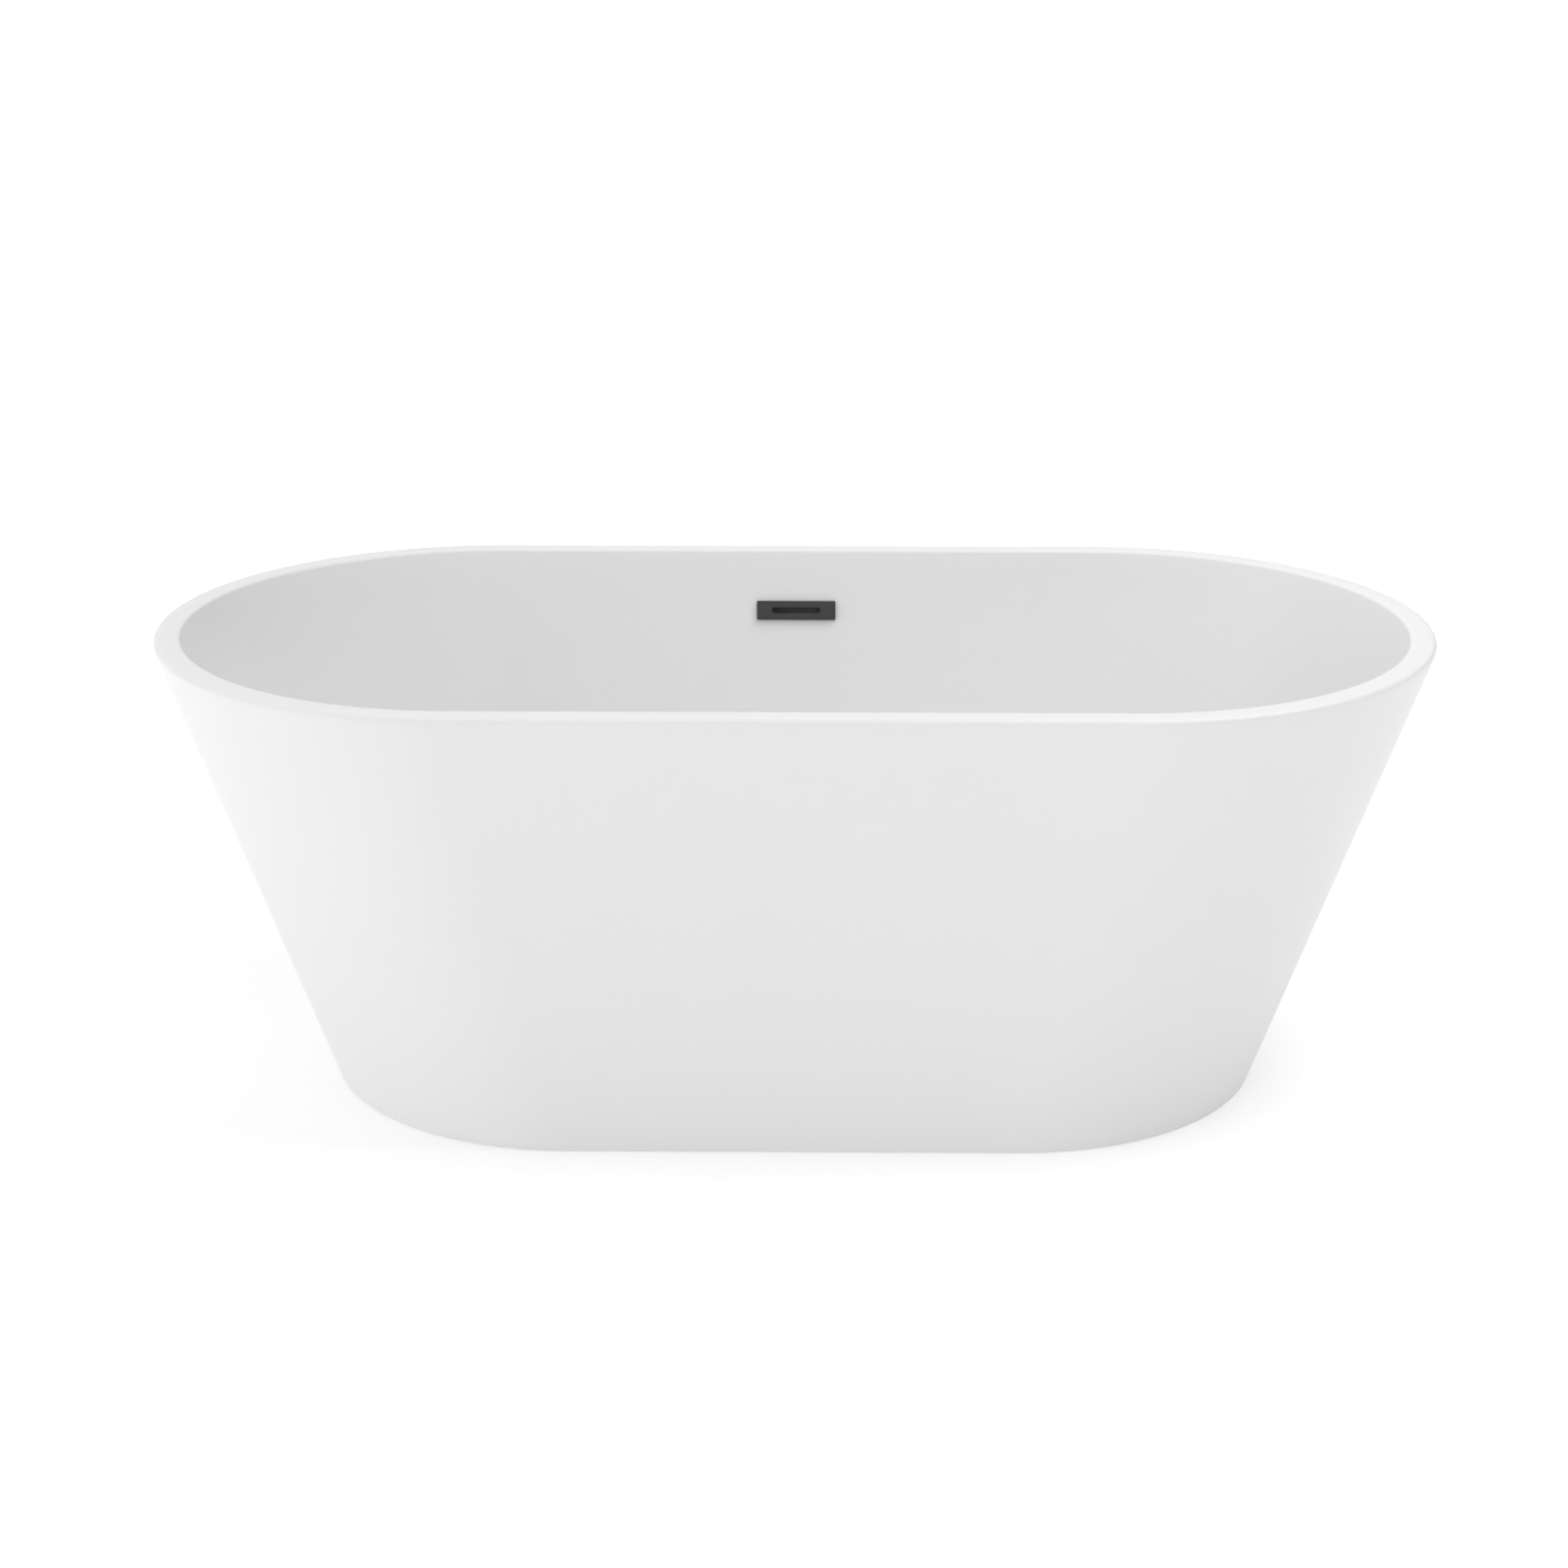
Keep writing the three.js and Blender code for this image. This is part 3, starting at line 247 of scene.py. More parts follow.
def galvanised_steel():
    """Hot-dip zinc: large crystals that catch the light differently, with a dull bloom."""
    finish = Finish("galvanised_steel", Metallic=1.0)
    spangle = finish.cells(0.011, "Color")
    facet = finish.node("ShaderNodeSeparateColor", None, {0: spangle})
    edge = 1 - finish.above(finish.cells(0.011, feature="DISTANCE_TO_EDGE"), 0.0, 0.06)
    bloom = finish.mottle(0.03, 4.0)
    zinc = finish.between(facet, tone(0.40, 0.42, 0.435), tone(0.66, 0.68, 0.69))
    dulled = finish.between(finish.above(bloom, 0.45, 0.75) * 0.6, zinc, tone(0.56, 0.57, 0.575))
    finish.colour(finish.between(edge * 0.35, dulled, tone(0.30, 0.31, 0.32)))
    finish.roughness(0.30 + facet * 0.16 + bloom * 0.14)
    finish.relief((facet, 0.00003), (finish.mottle(0.002, 3.0), 0.00003))
    return finish


def zinc_plated_steel():
    """Bright zinc plate on turned steel, with fine tool marks and a faint blue and straw tint."""
    finish = Finish("zinc_plated_steel", Metallic=1.0)
    tint = finish.mottle(0.009, 3.0)
    marks = finish.mottle(0.0009, 3.0, stretch=(1.0, 1.0, 0.12))
    finish.colour(finish.between(tint, tone(0.57, 0.585, 0.61), tone(0.70, 0.685, 0.645)))
    finish.roughness(0.22 + marks * 0.16 + tint * 0.06)
    finish.relief((marks, 0.00002))
    return finish


def rubber():
    """Moulded black rubber with a fine dry grain and a little bloom."""
    finish = Finish("rubber", IOR=1.52)
    grain = finish.mottle(0.0007, 3.0)
    bloom = finish.above(finish.mottle(0.018, 5.0), 0.5, 0.8)
    finish.colour(finish.between(bloom * 0.6 + grain * 0.2, grey(0.016), grey(0.045)))
    finish.roughness(0.66 + bloom * 0.14 + grain * 0.08)
    finish.relief((grain, 0.00005))
    return finish


def matte_black_trim():
    """Powder-coated trim: charcoal black with a fine even texture."""
    finish = Finish("matte_black_trim", IOR=1.5)
    orange_peel = finish.mottle(0.0011, 2.0)
    dust = finish.mottle(0.00035, 1.0)
    cloud = finish.mottle(0.03, 3.0)
    finish.colour(finish.between(cloud * 0.5 + dust * 0.5, grey(0.029), grey(0.042)))
    finish.roughness(0.46 + orange_peel * 0.1 + cloud * 0.05)
    finish.relief((orange_peel, 0.00003), (dust, 0.000012))
    return finish


def moulded_plastic(name, dark, light):
    """Injection-moulded waste fittings: a satin skin with flow marks and fine spark texture."""
    finish = Finish(name, IOR=1.5)
    flow = finish.mottle(0.014, 4.0, stretch=(1.0, 1.0, 0.3), wander=0.7)
    spark = finish.mottle(0.0006, 2.0)
    finish.colour(finish.between(flow * 0.7 + spark * 0.3, dark, light))
    finish.roughness(0.36 + flow * 0.1 + spark * 0.06)
    finish.relief((flow, 0.00005), (spark, 0.00001))
    return finish


def white_pvc():
    return moulded_plastic("white_pvc", tone(0.70, 0.70, 0.685), tone(0.77, 0.77, 0.76))


def grey_polypropylene():
    return moulded_plastic("grey_polypropylene", grey(0.14), grey(0.17))


def brass():
    """Machined brass with turning lines and a little tarnish."""
    finish = Finish("brass", Metallic=1.0)
    turning = finish.bands(0.00022, "Z", wander=0.3)
    tarnish = finish.above(finish.mottle(0.006, 4.0), 0.45, 0.75)
    finish.colour(finish.between(tarnish * 0.5, tone(0.76, 0.55, 0.25), tone(0.46, 0.30, 0.13)))
    finish.roughness(0.20 + tarnish * 0.18 + turning * 0.06)
    finish.relief((turning, 0.000008))
    return finish


def pale_glowing_floor():
    """The studio's pale floor. It glows with painted light, faintly near the tub and more so away from it, and the
    glow also lights the tub from beneath.
    """
    finish = Finish("pale_glowing_floor", IOR=1.4, Emission_Strength=1.0)
    cloud = finish.mottle(0.6, 3.0)
    distance = finish.node("ShaderNodeVectorMath", {"operation": "LENGTH"}, {0: finish.place}, 1)
    away = finish.above(distance, 0.7, 3.5)
    finish.colour(finish.between(cloud, grey(0.80), grey(0.82)))
    finish.roughness(0.8 + cloud * 0.1)
    # Painted light: the floor's own glow, weaker near the tub and stronger away from it.
    finish.feed(finish.shader.inputs["Emission Color"], finish.between(away, grey(0.29), grey(0.56)))
    return finish


MAKERS = (white_acrylic, fibreglass, bonding_paste, plywood, galvanised_steel, zinc_plated_steel, rubber,
          matte_black_trim, white_pvc, grey_polypropylene, brass)
FINISHES = {maker.__name__: maker() for maker in MAKERS}


# ---- Skins and sections -----------------------------------------------------------------------------
def circle(radius, z, sides):
    turns = [2 * math.pi * side / sides for side in range(sides)]
    return [Vector((radius * math.cos(turn), radius * math.sin(turn), z)) for turn in turns]


def skinned(rings, closed=False, capped=False):
    """Points and faces of a skin over rings with the same number of points; a ring of one point is a tip."""
    starts = [0]
    for ring in rings:
        starts.append(starts[-1] + len(ring))
    faces = []
    for low in range(len(rings) if closed else len(rings) - 1):
        high = (low + 1) % len(rings)
        count = max(len(rings[low]), len(rings[high]))
        for side in range(count):
            corners = []
            for ring, step in ((low, side), (low, side + 1), (high, side + 1), (high, side)):
                corner = starts[ring] + step % len(rings[ring]) if len(rings[ring]) > 1 else starts[ring]
                if corner not in corners:
                    corners.append(corner)
            if len(corners) > 2:
                faces.append(corners)
    if capped:
        faces.append(list(range(len(rings[0])))[::-1])
        faces.append([starts[-2] + side for side in range(len(rings[-1]))])
    return [point for ring in rings for point in ring], faces


def moved(skin, matrix):
    points, faces = skin
    return [matrix @ point for point in points], faces


def eased(corners, radius, steps=3, closed=True):
    """A section's corners rounded to one radius or a list of them, or less where a side is too short."""
    count = len(corners)
    radii = radius if isinstance(radius, list) else [radius] * count
    made = []
    for index, corner in enumerate(corners):
        if not closed and index in (0, count - 1):
            made.append(corner)
            continue
        before, after = corners[index - 1], corners[(index + 1) % count]
        reach = min(radii[index], (before - corner).length * 0.45, (after - corner).length * 0.45)
        start = corner + (before - corner).normalized() * reach
        end = corner + (after - corner).normalized() * reach
        for step in range(steps + 1):
            share = step / steps
            made.append(start.lerp(corner, share).lerp(corner.lerp(end, share), share))
    return made


def section(*corners):
    return [Vector(corner) for corner in corners]


def turned(profile, sides=64, lobes=0, depth=0.0):
    """A closed section of radius and height turned about Z; lobes dish its outside for grip."""
    outermost = max(point.x for point in profile)
    rings = []
    for point in profile:
        ring = circle(1.0, 0.0, sides)
        for spot in ring:
            turn = math.atan2(spot.y, spot.x)
            dish = depth * (0.5 - 0.5 * math.cos(lobes * turn)) if point.x > outermost - depth else 0.0
            spot *= point.x - dish
            spot.z = point.y
        rings.append(ring if point.x > 1e-6 else [Vector((0, 0, point.y))])
    on_axis = profile[0].x < 1e-6 and profile[-1].x < 1e-6
    return skinned(rings, closed=not on_axis)


def ring_part(outer, inner, low, high, ease=0.3, sides=64, **grip):
    corners = section((inner, low), (outer, low), (outer, high), (inner, high))
    return turned(eased(corners, ease), sides, **grip)


def rounded_rectangle(length, width, radius, steps=6):
    """Corner points, anticlockwise from the lower right corner."""
    x, y = length / 2 - radius, width / 2 - radius
    made = []
    for index, (cx, cy) in enumerate(((x, -y), (x, y), (-x, y), (-x, -y))):
        for step in range(steps + 1):
            turn = math.pi / 2 * (index - 1 + step / steps)
            made.append(Vector((cx + radius * math.cos(turn), cy + radius * math.sin(turn))))
    return made


def square_tube(length, size, wall, round_corner=3.0):
    """A length of square tube along X, centred on the origin."""
    outer = rounded_rectangle(size, size, round_corner)
    inner = rounded_rectangle(size - 2 * wall, size - 2 * wall, round_corner - wall)
    half = length / 2
    stack = ((outer, -half), (outer, half), (inner, half), (inner, -half))
    return skinned([[Vector((x, p.x, p.y)) for p in shape] for shape, x in stack], closed=True)


def hexagon_part(flats, low, high, bore=0.0, chamfer=0.55, sides=72):
    """A hexagon with its corners turned off on both faces, and a bore if one is given."""
    half = flats / 2
    face = half * 0.95
    bottom, top = circle(face, low, sides), circle(face, high, sides)
    lower, upper = circle(1.0, low, sides), circle(1.0, high, sides)
    for side in range(sides):
        turn = 2 * math.pi * side / sides
        across = half / math.cos(turn % (math.pi / 3) - math.pi / 6)
        fall = (across - face) * chamfer
        for spot, z in ((lower[side], low + fall), (upper[side], high - fall)):
            spot.x, spot.y, spot.z = spot.x * across, spot.y * across, z
    rings = [bottom, lower, upper, top]
    if bore:
        edge = 0.4
        rings += [circle(bore + edge, high, sides), circle(bore, high - edge, sides)]
        rings += [circle(bore, low + edge, sides), circle(bore + edge, low, sides)]
        return skinned(rings, closed=True)
    return skinned([[Vector((0, 0, low))], *rings, [Vector((0, 0, high))]])


def threaded_rod(radius, pitch, low, high, depth=0.75, sides=24, rows=5):
    """A rod whose surface rises and falls along a right-handed screw."""
    count = round((high - low) / pitch * rows)
    rings = [[Vector((0, 0, low))]]
    for row in range(count + 1):
        z = low + (high - low) * row / count
        ring = circle(1.0, 0.0, sides)
        for side, spot in enumerate(ring):
            phase = (z / pitch - side / sides) % 1.0
            groove = 1 - abs(2 * phase - 1)
            taper = min(1.0, (z - low) / pitch, (high - z) / pitch)
            spot *= radius - depth * (1 - taper) - depth * groove * taper
            spot.z = z
        rings.append(ring)
    return skinned([*rings, [Vector((0, 0, high))]])


def swept(path, sideways, radius, bore=0.0, sides=24):
    """A round rod or tube along a path; sideways gives a direction across it at each point."""

    def around(size):
        rings = []
        for index, point in enumerate(path):
            ahead = path[min(index + 1, len(path) - 1)] - path[max(index - 1, 0)]
            first = sideways(point).normalized()
            second = ahead.cross(first).normalized()
            rings.append([point + first * c.x + second * c.y for c in circle(size, 0.0, sides)])
        return rings

    if bore:
        return skinned(around(radius) + around(bore)[::-1], closed=True)
    return skinned(around(radius), capped=True)


def finished(name, slot, skins, body="root", replaces=None, sharp=32.0):
    """Makes one piece from skins in millimetres, and puts it in its body, finish and place."""
    points, faces = [], []
    for skin_points, skin_faces in skins:
        start = len(points)
        points.extend(point * MM for point in skin_points)
        faces.extend([corner + start for corner in face] for face in skin_faces)
    mesh = bpy.data.meshes.new(name)
    mesh.from_pydata(points, [], faces)
    build = bmesh.new()
    build.from_mesh(mesh)
    bmesh.ops.recalc_face_normals(build, faces=build.faces)
    build.to_mesh(mesh)
    build.free()
    piece = bpy.data.objects.new(name, mesh)
    bpy.context.scene.collection.objects.link(piece)
    mesh.materials.append(FINISHES[slot].material)
    smoothed(piece, sharp)
    if body:
        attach(piece, body)
    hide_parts(replaces)
    return piece


def smoothed(piece, sharp):
    for face in piece.data.polygons:
        face.use_smooth = True
    piece.data.set_sharp_from_angle(angle=math.radians(sharp))


def windowed(piece, cutter_skins, sharp=32.0):
    """Cuts an opening through a piece."""
    cutter = bpy.data.objects.new("window_cutter", bpy.data.meshes.new("window_cutter"))
    points, faces = cutter_skins
    cutter.data.from_pydata([point * MM for point in points], [], faces)
    bpy.context.scene.collection.objects.link(cutter)
    trim = piece.modifiers.new("window", "BOOLEAN")
    trim.operation = "DIFFERENCE"
    trim.solver = "EXACT"
    trim.object = cutter
    cut_mesh = bpy.data.meshes.new_from_object(piece.evaluated_get(bpy.context.evaluated_depsgraph_get()))
    piece.modifiers.clear()
    piece.data = cut_mesh
    bpy.data.objects.remove(cutter)
    smoothed(piece, sharp)


# ---- The tub's walls --------------------------------------------------------------------------------
# An outline is a vector of half length, half width and height, with half-circle ends.
def tub_ring(outline, end_steps=96, side_steps=1):
    straight = outline.x - outline.y
    made = []
    for side in (1, -1):
        for step in range(end_steps + 1):
            turn = math.pi * step / end_steps - math.pi / 2
            x = side * (straight + outline.y * math.cos(turn))
            made.append(Vector((x, side * outline.y * math.sin(turn), outline.z)))
        for step in range(1, side_steps):
            x = side * straight * (1 - 2 * step / side_steps)
            made.append(Vector((x, side * outline.y, outline.z)))
    return made


def on_wall(low, high, z, outwards=0.0):
    """The outline at a height of a wall that runs straight from low to high, moved out square to it."""
    rise = high.z - low.z
    sizes = []
    for side in (0, 1):
        run = high[side] - low[side]
        sizes.append(low[side] + (run * (z - low.z) + outwards * math.hypot(run, rise)) / rise)
    return Vector((*sizes, z))


def inset(outline, distance, z=None):
    return Vector((outline.x - distance, outline.y - distance, outline.z if z is None else z))


def run_of(start, end, steps):
    return [start.lerp(end, step / steps) for step in range(steps + 1)]


RIM_Z, LIP_Z, FLOOR_Z, DRAIN_Z = 580.0, 566.0, 150.0, 146.0
SKIRT_FOOT = Vector((594.0, 317.0, 1.0))
SKIRT_TOP = Vector((800.0, 400.0, 573.0))
ACRYLIC, BASIN_SKIN, SKIRT_SKIN, FIT = 5.0, 8.3, 7.8, 0.3
FIBREGLASS_TOP, FLOOR_ROUND, DRAIN_HOLE = 545.0, 95.0, 26.0
FROM_SKIRT, FROM_SKIRT_SIDE = 60.0, 98.0
RIM_WIDTH, INNER_EDGE, OUTER_EDGE = 32.0, 3.0, 7.0
SKIRT_FLANGE, LIP_FLANGE, POLISHED_GAP = 32.0, 19.0, 0.02
OVERFLOW_Z = 502.0
WINDOW = (70.0, 12.0, 6.0)
SHEET_STEPS = (72, 40)


def skirt_wall(z, inwards=0.0):
    return on_wall(SKIRT_FOOT, SKIRT_TOP, z, -inwards)


at_floor = skirt_wall(FLOOR_Z)
WELL_FOOT = Vector((at_floor.x - FROM_SKIRT, at_floor.y - FROM_SKIRT_SIDE, FLOOR_Z))
WELL_TOP = inset(SKIRT_TOP, RIM_WIDTH, RIM_Z)


def well_wall(z, outwards=0.0):
    return on_wall(WELL_FOOT, WELL_TOP, z, outwards)


def bowl(outwards, top, dished, rows=14):
    """Outlines from the floor round the drain, out through the rounded foot and up the wall."""
    middle_z = DRAIN_Z - outwards
    foot_z = middle_z + (FLOOR_Z - DRAIN_Z if dished else 0.0)
    reach = FLOOR_ROUND + outwards
    corner = well_wall(foot_z, outwards)
    wall_start = well_wall(foot_z + reach, outwards)
    floor_end = inset(corner, reach)
    enter, leave = floor_end.lerp(corner, 0.58), wall_start.lerp(corner, 0.58)
    rounding = []
    for step in range(1, 25):
        t = step / 24
        first, second, third = floor_end.lerp(enter, t), enter.lerp(leave, t), leave.lerp(wall_start, t)
        rounding.append(first.lerp(second, t).lerp(second.lerp(third, t), t))
    floor = run_of(Vector((42.0, 42.0, middle_z)), floor_end, 8)
    return [*floor, *rounding, *run_of(wall_start, well_wall(top, outwards), rows)[1:]]


def quarter_round(start, corner, end, steps):
    made = []
    for step in range(steps + 1):
        t = step / steps
        made.append(start.lerp(corner, t).lerp(corner.lerp(end, t), t))
    return made


def overflow_frame():
    lean = math.atan2(WELL_TOP.y - WELL_FOOT.y, RIM_Z - FLOOR_Z)
    place = Matrix.Translation((0.0, well_wall(OVERFLOW_Z).y, OVERFLOW_Z))
    return place @ Matrix.Rotation(math.pi / 2 - lean, 4, "X")


OVERFLOW = overflow_frame()


def window_cutter():
    shape = rounded_rectangle(*WINDOW, 10)
    rings = [[Vector((p.x, p.y, z)) for p in shape] for z in (-14.0, 6.0)]
    return moved(skinned(rings, capped=True), OVERFLOW)


def basin():
    """The inner skin in one sheet: drain recess, floor, wall, rim and turned-down lip."""
    recess = [Vector((r, r, z)) for r, z in ((DRAIN_HOLE, 144.0), (36.6, 144.0), (37.0, 144.4), (37.0, 145.5),
                                             (37.5, DRAIN_Z))]
    inner_edge = quarter_round(well_wall(RIM_Z - INNER_EDGE), WELL_TOP, inset(WELL_TOP, -INNER_EDGE), 6)
    outer_edge = quarter_round(inset(SKIRT_TOP, OUTER_EDGE, RIM_Z), inset(SKIRT_TOP, 0.0, RIM_Z), SKIRT_TOP, 10)
    lip = [skirt_wall(LIP_Z), skirt_wall(LIP_Z, ACRYLIC), inset(SKIRT_TOP, ACRYLIC, RIM_Z - ACRYLIC)]
    underside = bowl(ACRYLIC, RIM_Z - ACRYLIC, True)[::-1]
    hole = [Vector((DRAIN_HOLE, DRAIN_HOLE, DRAIN_Z - ACRYLIC))]
    rows = [*recess, *bowl(0.0, RIM_Z - INNER_EDGE, True)[:-1], *inner_edge, *outer_edge, *lip, *underside, *hole]
    piece = finished("basin_shell_fine", "white_acrylic", [skinned([tub_ring(row) for row in rows], closed=True)],
                     replaces="basin_shell")
    windowed(piece, window_cutter())


def skirt():
    """The outer skin, which closes up to the rim's lip, with flanges turned in at top and foot."""
    top_z, foot_z, ease = LIP_Z - POLISHED_GAP, SKIRT_FOOT.z, 1.6
    foot_edge = inset(SKIRT_FOOT, SKIRT_FLANGE)
    top_edge = inset(skirt_wall(top_z), LIP_FLANGE)
    foot_round = quarter_round(inset(SKIRT_FOOT, ease), SKIRT_FOOT, skirt_wall(foot_z + ease), 4)
    rows = [foot_edge, *foot_round, *run_of(skirt_wall(foot_z + ease), skirt_wall(top_z), 14)[1:], top_edge,
            inset(top_edge, 0.0, top_z - ACRYLIC), skirt_wall(top_z - ACRYLIC, ACRYLIC),
            skirt_wall(foot_z + ACRYLIC, ACRYLIC), inset(foot_edge, 0.0, foot_z + ACRYLIC)]
    finished("skirt_shell_fine", "white_acrylic", [skinned([tub_ring(row) for row in rows], closed=True)],
             replaces="skirt_shell")


def sprayed(rows, outwards, thickness, low):
    """Rings of a sprayed face, pushed out unevenly above the given height."""
    rings = []
    for row in rows:
        ring = tub_ring(row, *SHEET_STEPS)
        for spot in ring:
            rough = noise.noise(spot * 0.03) * 0.6 + noise.noise(spot * 0.11) * 0.4
            share = min(1.0, max(0.0, (spot.z - low) / 30.0))
            away = Vector((math.copysign(max(0.0, abs(spot.x) - (row.x - row.y)), spot.x), spot.y, 0.0))
            spot += away.normalized() * outwards * thickness * (0.5 + 0.5 * rough) * share
        rings.append(ring)
    return rings


def laminates():
    basin_free = bowl(BASIN_SKIN, FIBREGLASS_TOP, False, 40)
    basin_bonded = bowl(ACRYLIC + FIT, FIBREGLASS_TOP, True, 4)[::-1]
    hole = [Vector((DRAIN_HOLE, DRAIN_HOLE, z)) for z in (DRAIN_Z - ACRYLIC - FIT, DRAIN_Z - BASIN_SKIN)]
    rings = sprayed(basin_free, 1.0, 1.4, DRAIN_Z)
    rings += [tub_ring(row, *SHEET_STEPS) for row in basin_bonded + hole]
    piece = finished("basin_laminate_sprayed", "fibreglass", [skinned(rings, closed=True)],
                     replaces="basin_laminate")
    windowed(piece, window_cutter(), 60.0)
    low = SKIRT_FOOT.z + ACRYLIC + FIT
    free = run_of(skirt_wall(low, SKIRT_SKIN), skirt_wall(FIBREGLASS_TOP, SKIRT_SKIN), 44)
    bonded = [skirt_wall(FIBREGLASS_TOP, ACRYLIC + FIT), skirt_wall(low, ACRYLIC + FIT)]
    rings = sprayed(free, -1.0, 1.2, low) + [tub_ring(row, *SHEET_STEPS) for row in bonded]
    finished("skirt_laminate_sprayed", "fibreglass", [skinned(rings, closed=True)], sharp=60.0,
             replaces="skirt_laminate")


def bond_bead():
    """A squeezed line of paste between the two skins under the rim."""
    low, high = LIP_Z, RIM_Z - ACRYLIC - FIT
    outer = inset(skirt_wall(low, ACRYLIC), FIT)
    inner = inset(outer, 9.0)
    middle = (low + high) / 2
    squeezed = [inset(inner, -0.6, low), inset(inner, 0.0, middle - 2), inset(inner, 0.3, middle),
                inset(inner, 0.0, middle + 2), inset(inner, -0.6, high)]
    rows = [outer, inset(outer, 0.0, high), *squeezed[::-1]]
    finished("rim_bond_bead_fine", "bonding_paste", [skinned([tub_ring(row, 72) for row in rows], closed=True)],
             replaces="rim_bond_bead")


# ---- Sub-frame --------------------------------------------------------------------------------------
SIDES = {"left": -1, "right": 1}
FACES = {"front": -1, "back": 1}
RAIL_Y = middle_of("frame_rail_back").y
BAR_X = middle_of("cross_bar_right").x
FOOT_Y = middle_of("foot_pad_back_right").y
TUBE, TUBE_WALL, SCREW_X = 25.0, 2.0, 300.0


def base_board():
    """A plywood sheet with eased edges and a round hole over the drain."""
    underside, outline = box_of("base_board")
    low, high, ease, hole = underside.z, outline.z, 0.7, 50.0
    rows = [Vector((hole, hole, low)), inset(outline, ease, low), inset(outline, 0.0, low + ease),
            inset(outline, 0.0, high - ease), inset(outline, ease, high), Vector((hole, hole, high))]
    finished("base_board_fine", "plywood", [skinned([tub_ring(row, 48) for row in rows], closed=True)],
             replaces="base_board")


def sub_frame():
    for face in FACES:
        low, high = box_of(f"frame_rail_{face}")
        tube = moved(square_tube(high.x - low.x, TUBE, TUBE_WALL), Matrix.Translation((low + high) / 2))
        finished(f"frame_rail_{face}_fine", "galvanised_steel", [tube], replaces=f"frame_rail_{face}")
    across = Matrix.Rotation(math.pi / 2, 4, "Z")
    for side in SIDES:
        low, high = box_of(f"cross_bar_{side}")
        place = Matrix.Translation((low + high) / 2) @ across
        tube = moved(square_tube(high.y - low.y, TUBE, TUBE_WALL), place)
        finished(f"cross_bar_{side}_fine", "galvanised_steel", [tube], replaces=f"cross_bar_{side}")


def bracket(corner, y):
    """A folded steel angle with a rounded bend, its upright leg against the skirt's block."""
    low, high = box_of(f"skirt_bracket_{corner}")
    near, far = sorted((abs(low.y), abs(high.y)))
    steel = 3
    fold = section((near, low.z), (far, low.z), (far, high.z), (far - steel, high.z),
                   (far - steel, low.z + steel), (near, low.z + steel))
    rounded = eased(fold, [0.5, 3.5, 0.5, 0.5, 1.5, 0.5], 4)
    rings = [[Vector((width, y * p.x, p.y)) for p in rounded] for width in (low.x, high.x)]
    finished(f"skirt_bracket_{corner}_fine", "galvanised_steel", [skinned(rings, capped=True)],
             replaces=f"skirt_bracket_{corner}")


def board_screw(corner, x, y):
    place = Matrix.Translation((x * SCREW_X, y * RAIL_Y, 0))
    washer = turned(eased(section((0, 96.2), (5.6, 96.2), (5.6, 96.8), (0, 96.8)), 0.2, closed=False), 40)
    skins = [hexagon_part(9.0, 92.8, 96.4), washer, threaded_rod(2.5, 1.6, 96.6, 132.4, 0.6, 16, 4)]
    finished(f"board_screw_{corner}_fine", "zinc_plated_steel", [moved(skin, place) for skin in skins],
             replaces=f"board_screw_{corner}")


def foot(corner, x, y):
    """A rubber-soled pad, a screwed stud that turns in it, and two nuts."""
    place = Matrix.Translation((x * BAR_X, y * FOOT_Y, 0))
    profile = section((0, 0.6), (15, 0.6), (16, 0), (22.6, 0), (25, 1.6), (25, 4.6), (23.4, 6.2), (13, 9.6),
                      (10.6, 12), (5.3, 12), (5.3, 5), (0, 5))
    pad = turned(eased(profile, 1.0, 3, closed=False), 72, 24, 0.7)
    finished(f"foot_pad_{corner}_fine", "rubber", [moved(pad, place)], f"pad_{corner}", f"foot_pad_{corner}")
    shank = turned(eased(section((0, 5.3), (4.8, 5.3), (4.8, 12.6), (0, 12.6)), 1.2, 3, closed=False), 40)
    skins = [shank, hexagon_part(17.0, 12.3, 18.3), threaded_rod(5.0, 1.5, 18.2, 94.5)]
    finished(f"foot_stud_{corner}_fine", "zinc_plated_steel", [moved(skin, place) for skin in skins],
             f"stud_{corner}", f"foot_stud_{corner}")
    for part, low, high in (("jam_nut", 53.2, 61.2), ("weld_nut", 61.5, 71.5)):
        nut = moved(hexagon_part(17.0, low, high, 5.3), place)
        finished(f"foot_{part}_{corner}_fine", "zinc_plated_steel", [nut], replaces=f"foot_{part}_{corner}")


# ---- Overflow ---------------------------------------------------------------------------------------
PORT_Z = 76.1


def overflow_cover():
    """A shallow pressed cap with rounded edges and a rolled slot."""

    def outline(length, width, radius, out_by, z):
        shape = rounded_rectangle(length + 2 * out_by, width + 2 * out_by, radius + out_by, 10)
        return [Vector((p.x, p.y, z)) for p in shape]

    def rim(in_by, z):
        return outline(107.0, 26.0, max(1.8, 0.4 + in_by), -in_by, z)

    def slot(out_by, z):
        return outline(66.0, 8.0, 4.0, out_by, z)

    rings = [slot(0, 3.3), slot(0, 4.7), slot(0.12, 5.05), slot(0.5, 5.28), slot(0.9, 5.3), rim(0.9, 5.3),
             rim(0.35, 5.18), rim(0.08, 4.9), rim(0, 4.4), rim(0, 0.3), rim(1.5, 0.3), rim(1.5, 3.3)]
    finished("overflow_cover_fine", "matte_black_trim", [moved(skinned(rings, closed=True), OVERFLOW)],
             replaces="overflow_cover")


